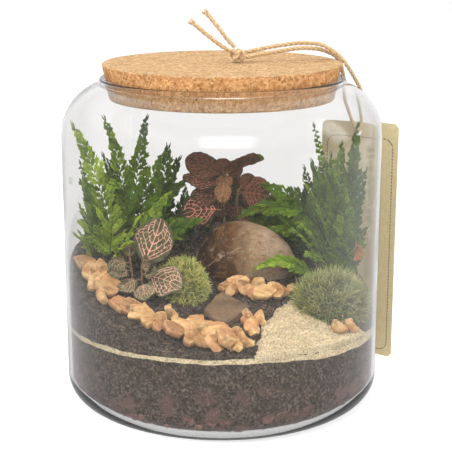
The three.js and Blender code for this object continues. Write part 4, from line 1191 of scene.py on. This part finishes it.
def lieOf(x, y, turn, lean, sideLean, lift):
    # how a flat thing lies on the soil, and where its middle is
    step = 4
    slopeX = (soilTop(x + step, y) - soilTop(x - step, y)) / (2 * step)
    slopeY = (soilTop(x, y + step) - soilTop(x, y - step)) / (2 * step)
    up = Vector((-slopeX, -slopeY, 1)).normalized()
    lie = Vector((0, 0, 1)).rotation_difference(up)
    spin = (Quaternion((0, 1, 0), radians(sideLean)) @ Quaternion((1, 0, 0), radians(lean))
            @ Quaternion((0, 0, 1), radians(turn)))
    return np.array((lie @ spin).to_matrix()), np.array([x, y, soilTop(x, y)]) + np.array(up) * lift


def edgeAt(corners, wayX, wayY, reach):
    # how far the outline is from the middle in a direction
    best = reach
    for i, (ax, ay) in enumerate(corners):
        bx, by = corners[(i + 1) % len(corners)]
        dx, dy = bx - ax, by - ay
        det = wayX * -dy + wayY * dx
        if abs(det) < 1e-9:
            continue
        far = (ax * -dy + ay * dx) / det
        if far > 0 and -0.001 <= (wayX * ay - wayY * ax) / det <= 1.001:
            best = min(best, far)
    return best


def addChip(pile, corners, x, y, lift, turn, lean, sideLean, tone, seed):
    draw = random.Random(seed)
    spin, centre = lieOf(x, y, turn, lean, sideLean, lift)
    reach = max(hypot(*corner) for corner in corners)
    corners = sorted(corners, key=lambda corner: atan2(corner[1], corner[0]) % (2 * pi))
    sides, rings = chip["sides"], chip["rings"]
    outline = []
    for k in range(sides):
        wayX, wayY = around(k, sides)
        angle = 2 * pi * k / sides
        ragged = 1 + 0.03 * sin(5 * angle + seed) + 0.03 * sin(11 * angle + 2 * seed)
        far = edgeAt(corners, wayX, wayY, reach) * ragged
        outline.append((far * wayX, far * wayY))
    points = np.array([(0, 0)] + [(a * share, b * share) for share in rings for a, b in outline])
    faces = fanFaces(0, 1, sides) + netFaces(len(rings) - 1, sides, 1)
    toEdge = np.array([0] + [share for share in rings for _ in range(sides)])

    def rough(size, way, stretch=1):
        return np.array([wobble(a, b * stretch, way, size) for a, b in points])

    bendWay = draw.uniform(0, pi)
    cross = (points @ [cos(bendWay), sin(bendWay)] / reach) ** 2
    height = chip["curl"] * (points[:, 0] / reach) ** 2 + 1.6 * draw.uniform(0.1, 0.9) * cross
    height += 0.5 * rough(5, seed * 3) + 0.7 * np.abs(rough(3.4, seed * 5 + 2))
    ridges = 0.2 * rough(1.6, seed * 7, 0.4)
    half = chip["half"] * np.where(toEdge > 0.99, 0.8, np.where(toEdge > 0.9, 1.2, 1.3))
    both = np.concatenate([np.column_stack([points, height + half + ridges]),
                           np.column_stack([points, height - half])])
    # the top is lighter on its raised fibres and paler on its outer ring; the underside is painted 0.35
    # darker as shade under the chip
    tones = tone + ridges + np.where(toEdge > 0.9, 0.25, 0)
    pile.add(both @ spin.T + centre, plateFaces("chip", faces, len(points)), 0,
             np.clip(np.concatenate([tones, tones - 0.35]), 0, 1))


def makeChips(name, finish):
    path, count, rows, spread, seed, size, clear, standing = trails[name]
    draw = drawer(seed)
    pile = Pile()
    wide = size * chip["size"]
    for i in range(count):
        place, ahead = trailSpot(path, 0 if count == 1 else i / (count - 1))
        shift = spread * ((i % rows) / (rows - 1) - 0.5) if rows > 1 else draw(-spread, spread)
        corners = []
        for k in range(chip["corners"]):
            angle = 2 * pi * (k + draw(-0.22, 0.22)) / chip["corners"]
            reach = wide * draw(0.8, 1.2) * (1 if k % 3 else 1.15) * chip["shown"]
            corners.append((reach * cos(angle), 0.8 * reach * sin(angle)))
        lean, sideLean = draw(-13, 13), draw(-13, 13)
        lift = chip["half"] + clear + wide * sin(radians(hypot(lean, sideLean))) + draw(0, 1) + 0.8
        turn = draw(0, 360)
        # each broken edge bulges a little, so that no chip looks like a star
        rounded = []
        for (a, b), (nextA, nextB) in zip(corners, corners[1:] + corners[:1]):
            rounded += [(a, b), ((a + nextA) * chip["bulge"], (b + nextB) * chip["bulge"])]
        addChip(pile, rounded, place.x - ahead.y * shift, place.y + ahead.x * shift, lift, turn,
                abs(lean) + 10 + 12 * (i % 3), 1.4 * sideLean, 0.25 + 0.065 * ((i * 7 + seed) % 10), seed + i)
    for x, y, size, turn, lean, tone, seed in standing:
        corners = [(a * size, b * size) for a, b in chip["standing"]]
        addChip(pile, corners, x, y, size * 0.55, turn, 0, lean, tone, seed)
    pile.piece(name, "_bark", "bark", [finish], 32)


slab = {
    "lie": (3, -45, 0, 4, -2, 1.5),  # x, y, turn, lean, side lean, lift
    "half": 4,
    "beds": (-4, -2.6, -2.4, -0.4, -0.2, 1.5, 1.7, 3.2, 4),
    "outline": [(-16, -1), (-8, 15), (-3, 22), (17, 2), (15, -4), (-1, -21), (-9, -15)],
}


def makeFlatStone(finish):
    # thin beds of rock on each other, each broken off a little differently
    spin, centre = lieOf(*slab["lie"])
    corners = slab["outline"]
    outline = []
    for (ax, ay), (bx, by) in zip(corners, corners[1:] + corners[:1]):
        outline += [(mix(ax, bx, k / 14), mix(ay, by, k / 14)) for k in range(14)]
    outline.reverse()
    sides, top = len(outline), slab["half"]
    points = []
    for level, height in enumerate(slab["beds"]):
        bed = (level + 1) // 2
        last = 0.95 if height == top else 1
        for x, y in outline:
            broken = 1 + 0.05 * wobble(x, y, bed * 11, 5) + 0.03 * wobble(x, y, bed * 5, 1.8) - 0.012 * bed
            points.append((x * broken * last, y * broken * last, height))
    rim = points[-sides:]
    for share in (0.8, 0.6, 0.4, 0.2):
        for x, y, _ in rim:
            x, y = x * share, y * share
            points.append((x, y, top + 0.45 * wobble(x, y, 3, 4) + 0.25 * wobble(x, y, 8, 1.5) - 0.2))
    count = len(points)
    points += [(0, 0, top), (0, 0, -top)]
    faces = flipped(netFaces(count // sides - 1, sides) + fanFaces(count + 1, 0, sides))
    pile = Pile()
    pile.add(np.array(points) @ spin.T + centre, faces + fanFaces(count, count - sides, sides))
    pile.piece("flat_stone", "_rock", "slate", [finish], 30)


boulder = {"place": (16, 13, 97), "half": (37, 19, 26), "tilt": -6, "seed": 5, "depth": 0.09}


def makeBoulder(finish):
    draw = drawer(boulder["seed"])
    waves = [np.array([draw(1.5, 3), draw(1.5, 3), draw(1.5, 3)]) for _ in range(3)]
    ball, faces = stoneBall(6)
    swell = sum(np.sin(ball @ wave) for wave in waves)
    fine = np.array([0.012 * wobble(*(p * 4)) + 0.006 * wobble(*(p * 11)) for p in ball])
    shape = ball * (1 + boulder["depth"] * swell / 3 + fine)[:, None] * np.array(boulder["half"])
    tilt = np.array(Matrix.Rotation(radians(-boulder["tilt"]), 3, "Y"))
    pile = Pile()
    pile.add(shape @ tilt.T + np.array(boulder["place"]), faces)
    pile.piece("boulder", "_rock", "rock", [finish])


# Jar, cork and drainage
cork = {"bottom": 220.0, "top": 244.9, "bottomRadius": 80.1, "topRadius": 85.4, "edge": 0.9, "rim": 13}
drain = {"top": 20.0, "pebbles": 280, "sizes": (3.2, 8.2), "highest": 32.0, "behind": 1.8, "seed": 11}


def makeJar(finish):
    centre = jar["radius"] - jar["shoulder"]
    inside = jar["shoulder"] - jar["wall"]
    throatAngle = degrees(acos((jar["throat"] - centre) / inside))
    base, floor, top = jar["baseCorner"], jar["floor"], jar["lipTop"]
    lip, inner = 1.55, 1.4  # how round the lip is outside and inside
    profile = [(0.01, 0), (40, 0), (80, 0)]
    profile += cornerArc(jar["radius"] - base, base, base, -90, 0, 16)
    profile += cornerArc(centre, jar["wallTop"], jar["shoulder"], 0, jar["shoulderEnd"], 20)
    profile += cornerArc(jar["lipRadius"] - lip, top - lip, lip, -10, 90, 6)
    profile += cornerArc(jar["throat"] + inner, top - inner, inner, 90, 180, 5)
    profile += cornerArc(centre, jar["wallTop"], inside, throatAngle, 0, 18)
    profile += cornerArc(innerRadius - innerCorner, floor + innerCorner, innerCorner, 0, -90, 14)
    profile += [(60, floor), (0.01, floor)]
    sides = 192
    pile = lathePile(profile, sides)
    # close the two small holes on the axis
    ends = np.array(endFaces((len(profile) - 1) * sides, sides))
    pile.faces.append(ends)
    pile.slots.append(np.zeros(len(ends), int))
    piece = pile.piece("glass_jar", "_wall", "glass", [finish], 60)
    piece.visible_shadow = False  # light reaches the planting without noise


def makeCork(finish):
    low, high = cork["bottom"], cork["top"]
    below, above, edge = cork["bottomRadius"], cork["topRadius"], cork["edge"]
    profile = [(0.01, low), (30, low), (60, low), (below - 0.5, low), (below, low + 0.6)]
    profile += [(mix(below, above - 0.15, k / 16), mix(low, high - edge, k / 16)) for k in range(1, 16)]
    profile += [(above - 0.1, high - edge), (above - 0.45, high - 0.3), (above - 1.1, high)]
    profile += [(mix(above - 1.1, 0.01, k / 29), high) for k in range(1, 30)]

    def pitted(x, y, z):
        radius = hypot(x, y)
        lumps = 0.16 * wobble(x, y, z, 2.2) + 0.22 * wobble(x, y, z, 5)
        depth = lumps - 0.75 * max(0, wobble(x, y, z + 30, 3.1) - 0.42) - 0.3
        if radius > below - 1 and z < high - 0.2:
            return (x * (1 + depth / radius), y * (1 + depth / radius), z)
        return (x, y, z + depth) if z > high - 1 else (x, y, z)

    sides = 320
    # the side's upper band takes the rim colour, partly painted shade, and the top takes the lighter face
    # colour
    tones = [clamp(height - high + 1.2) if height > high - cork["rim"] else 0.7 for _, height in profile]
    pile = lathePile(profile, sides, pitted, 0, np.repeat(tones, sides))
    pile.piece("cork_stopper", "_body", "cork", [finish], 40)


def innerWall(z):
    # the glass's inner radius at a height
    drop = clamp(jar["floor"] + innerCorner - z, 0, innerCorner)
    return innerRadius - innerCorner + sqrt(innerCorner * innerCorner - drop * drop)


def makeDrainage(finishes):
    draw = random.Random(drain["seed"])
    low, top = jar["floor"] + 0.5, drain["top"]

    def dented(x, y, z):
        inset = 1 - 0.012 * abs(wobble(x, y, z, 4))
        return (x * inset, y * inset, z)

    heights = [mix(low, top, k / 11) for k in range(12)]
    profile = [(0.01, low), (60, low)] + [(innerWall(height) - drain["behind"], height) for height in heights]
    pile = lathePile(profile + [(60, top), (0.01, top)], 160, dented, 1)
    ball, faces = stoneBall(3)
    for i in range(drain["pebbles"]):
        size = mix(*drain["sizes"], draw.random() ** 1.4)
        height = draw.uniform(low + size * 0.55, drain["highest"] - size)
        angle = draw.uniform(0, 2 * pi)
        shape = ball * np.array([draw.uniform(0.8, 1.15), draw.uniform(0.75, 1.05), draw.uniform(0.6, 0.85)])
        shape = shape * (1 + 0.09 * np.sin(ball[:, [0]] * 3 + i) * np.cos(ball[:, [2]] * 4 + i))
        shape = (shape @ turnedBy(draw).T) * size
        # each pebble is pushed out until it lies against the glass
        outward = np.array([cos(angle), sin(angle), 0])
        reach = innerWall(max(height - size * 0.6, low)) - 0.6
        shape = shape + outward * (reach - (shape @ outward).max()) + np.array([0, 0, height])
        allowed = np.array([innerWall(max(z, low)) - 0.4 for z in shape[:, 2]])
        squeeze = np.minimum(1, allowed / np.hypot(shape[:, 0], shape[:, 1]))
        shape[:, :2] *= squeeze[:, None]
        shape[:, 2] = np.maximum(shape[:, 2], jar["floor"] + 0.35)
        pile.add(shape, faces, 0, draw.uniform(0, 1))
    pile.piece("drainage_pebbles", "_bed", "pebbles", finishes)


# Twine and tag
twine = {
    "thick": 3.0,
    "ply": 0.8,
    "strand": 0.78,
    "pitch": 12.0,
    "spacing": 0.9,
    "hairs": 1.5,
    "hairChance": 0.16,
    "frayedFrom": 0.86,
    "knotAt": (11, -1, 250.016),
    "knotScale": 1.45,
    "knotHairs": 3.5,
}
# far end, stiffness, lay, hairs, frayed, route
cordRoutes = {
    "twine_loop": ("knot", "limp", "hanging", 1.0, False, [
        (17.4, -2.6, 248.7), (28, 0, 250.4), (42, 4, 252.4), (56, 9, 253.8), (68, 14.4, 252.8),
        (76, 20, 250.2), (82, 25.8, 247), (86.9, 29.4, 241.8), (88.8, 31.8, 235.5), (90.6, 36.4, 229),
        (93, 46.4, 223.5), (94.6, 54.8, 218.2), (95.8, 60, 212.8), (97.9, 61.8, 206.6), (100.2, 62.7, 200),
        (102.9, 63.4, 193), (105.1, 64.4, 187.8), (108, 67.4, 184.4), (111.4, 72, 185.6), (113, 74.4, 190.2),
        (112.2, 73.2, 195.6), (110.2, 65.4, 201.6), (107.8, 54.6, 208), (105.3, 45.6, 214.6),
        (103, 37, 221.3),
        (98.8, 28.6, 228.4), (94.6, 21.6, 235), (91.4, 17.4, 239.6), (88.4, 15.2, 243.8), (84.2, 14.6, 248.2),
        (78, 14.2, 252.6), (70, 14, 256.2), (56, 10, 257.4), (42, 5.6, 256.2), (28.6, 1.8, 254.2),
        (16.9, 0, 252)]),
    "twine_tail_long": ("bare", "stiff", "loose", 2.2, True, [
        (6, -1.5, 252.8), (0.5, -2.2, 256), (-6, -3, 260.8), (-14, -3.6, 267.4), (-22.6, -4, 274.6)]),
    "twine_tail_short": ("bare", "stiff", "loose", 2.2, True, [
        (9, -0.7, 255.7), (4.6, 0.4, 260.2), (0, 1.2, 266), (-6, 2, 273.4), (-12.6, 2.6, 281)]),
}


def addPlies(pile, line, draw, hairs, frayed=False):
    # three strands laid round each other, with loose fibres that stand out
    count = len(line)
    run = 0.0
    strands = [[], [], []]
    for i, (spot, ahead, side, up) in enumerate(framesAlong(line)):
        if i:
            run += (line[i] - line[i - 1]).length
        loose = (i / (count - 1) - twine["frayedFrom"]) / (1 - twine["frayedFrom"])
        offset = twine["ply"] + (smooth(loose) if frayed else 0)
        for k in range(3):
            angle = 2 * pi * (run / twine["pitch"] + k / 3) + 0.25 * wobble(run, k * 9, 0, 4)
            strands[k].append(spot + (side * cos(angle) + up * sin(angle)) * offset)
        if draw.random() < twine["hairChance"] * hairs and 2 < i < count - 2:
            angle = draw.uniform(0, 2 * pi)
            out = side * cos(angle) + up * sin(angle)
            lean = ahead * draw.choice((-1, 1)) * draw.uniform(0.5, 1.4)
            long = twine["hairs"] * draw.uniform(0.4, 1.0)
            root = spot + out * twine["thick"] * 0.45
            hair = [root, root + (out + lean) * long * 0.5, root + (out * 1.1 + lean * 1.4) * long * 0.8]
            tubeAlong(pile, hair, [0.05, 0.04, 0.02], 3)
    for strand in strands:
        radii = [twine["strand"] * (1 + 0.12 * wobble(p.x, p.y, p.z, 3)) for p in strand]
        if frayed:
            radii[-1] *= 0.5
        tubeAlong(pile, strand, radii, 7)


def makeKnot(finish):
    scale = twine["knotScale"]
    line = []
    for k in range(90):
        t = 2 * pi * k / 89
        turn = Vector(((sin(t) + 2 * sin(2 * t)) * scale, (cos(t) - 2 * cos(2 * t)) * scale * 0.95,
                       -3.0 * sin(3 * t)))
        line.append(Vector(twine["knotAt"]) + turn)
    pile = Pile()
    addPlies(pile, line, random.Random(8), twine["knotHairs"])
    return pile.piece("twine_knot", "_turns", "twine", [finish], 60)


def makeCords(finish, hung):
    draw = random.Random(5)
    for name, (farEnd, stiffness, lay, hairs, frayed, route) in cordRoutes.items():
        line, length = smoothLine(route, twine["spacing"])
        pile = Pile()
        addPlies(pile, line, draw, hairs, frayed)
        piece = pile.piece(name, "_twine", "twine", [finish], 60)
        path = [tuple(p * mm) for p in line]
        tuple(path[0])


# Making everything
setCamera()
setStudio()
print("studio made")

twineSkin = twineFinish()
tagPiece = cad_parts["card_tag"]
tagPiece.data.materials.clear()
tagPiece.data.materials.append(cardFinish())
makeCords(twineSkin, [makeKnot(twineSkin), tagPiece])
print("twine and tag made")

makeJar(glassFinish())
makeCork(corkFinish())
print("jar and cork made")

soilSkin = soilFinish()
makeDrainage([pebbleFinish(), soilSkin])
lower = layerPile(lambda x, y: sandUnder(x, y) - 0.1, lambda x, y: drain["top"] + 0.4, 6, 220, 22, 1.0)
lower.piece("soil_lower", "_fill", "soil", [soilSkin])
sand = layerPile(sandSurface, sandUnder, 74, 300, 5, 0.5)
addCrumbs(sand, 3200, sandSurface, (0.3, 0.75), 3, lambda x, y: heapEdge(x, y) > 0.5)
sand.piece("sand_layer", "_fill", "sand", [sandFinish()])
upper = layerPile(soilSurface, lambda x, y: sandLine(x, y) - 0.1, 74, 300, 10, 1.0)
addCrumbs(upper, 3400, soilSurface, (0.5, 2.1), 4, lambda x, y: heapEdge(x, y) < 0)
upper.piece("soil_upper", "_fill", "soil", [soilSkin])
print("layers made")

makeBoulder(boulderFinish())
makeFlatStone(slateFinish())
barkSkin = barkFinish()
for name in trails:
    makeChips(name, barkSkin)
print("stones and chips made")

# dark, middle and light tone
mossColours = {
    "moss_left": ("mossOlive", (0.05, 0.054, 0.014), (0.42, 0.44, 0.13), (0.84, 0.8, 0.36)),
    "moss_right": ("mossDark", (0.036, 0.042, 0.014), (0.27, 0.29, 0.1), (0.66, 0.63, 0.31)),
    "moss_back": ("mossBright", (0.05, 0.08, 0.006), (0.25, 0.34, 0.02), (0.55, 0.62, 0.08)),
}
for name, (skin, *colours) in mossColours.items():
    makeMoss(name, mossFinish(skin, *zip((0, 0.5, 1), colours)))
print("moss made")

fernColours = [
    ("fernGreen", (0.012, 0.026, 0.003), (0.086, 0.15, 0.009), (0.31, 0.42, 0.045)),
    ("fernRib", (0.03, 0.05, 0.015), (0.08, 0.11, 0.03), (0.18, 0.22, 0.07)),
    ("fernDry", (0.2, 0.07, 0.015), (0.42, 0.16, 0.035), (0.55, 0.26, 0.07)),
]
fernSkins = [fernFinish(skin, *zip((0, 0.5, 1), colours)) for skin, *colours in fernColours]
for name in ferns:
    makeFern(name, fernSkins)
print("ferns made")

stemSkin = veinFinish("leafyStem", (0, (0.16, 0.1, 0.05)), (1, (0.3, 0.2, 0.1)))
freshSkin = bladeFinish("netBladeFresh", (0, (0.05, 0.085, 0.012)), (1, (0.17, 0.23, 0.04)))
netSkins = {
    "netleaf": [bladeFinish("netBladeLight", (0, (0.036, 0.044, 0.019)), (0.5, (0.11, 0.108, 0.052)),
                            (1, (0.22, 0.185, 0.09))),
                veinFinish("netVeinLight", (0, (0.34, 0.23, 0.13)), (1, (0.78, 0.42, 0.33)))],
    "netleaf_dark": [bladeFinish("netBladeDark", (0, (0.01, 0.012, 0.006)), (0.3, (0.04, 0.032, 0.014)),
                                 (0.55, (0.115, 0.06, 0.028)), (0.8, (0.2, 0.125, 0.035)),
                                 (1, (0.34, 0.19, 0.05))),
                     veinFinish("netVeinDark", (0, (0.1, 0.045, 0.022)), (0.5, (0.34, 0.1, 0.06)),
                                (1, (0.7, 0.25, 0.19)))],
}
for row in leafyStems:
    makeNetleaf(row, netSkins[row[7]] + [stemSkin, freshSkin])
print("net-veined plants made")
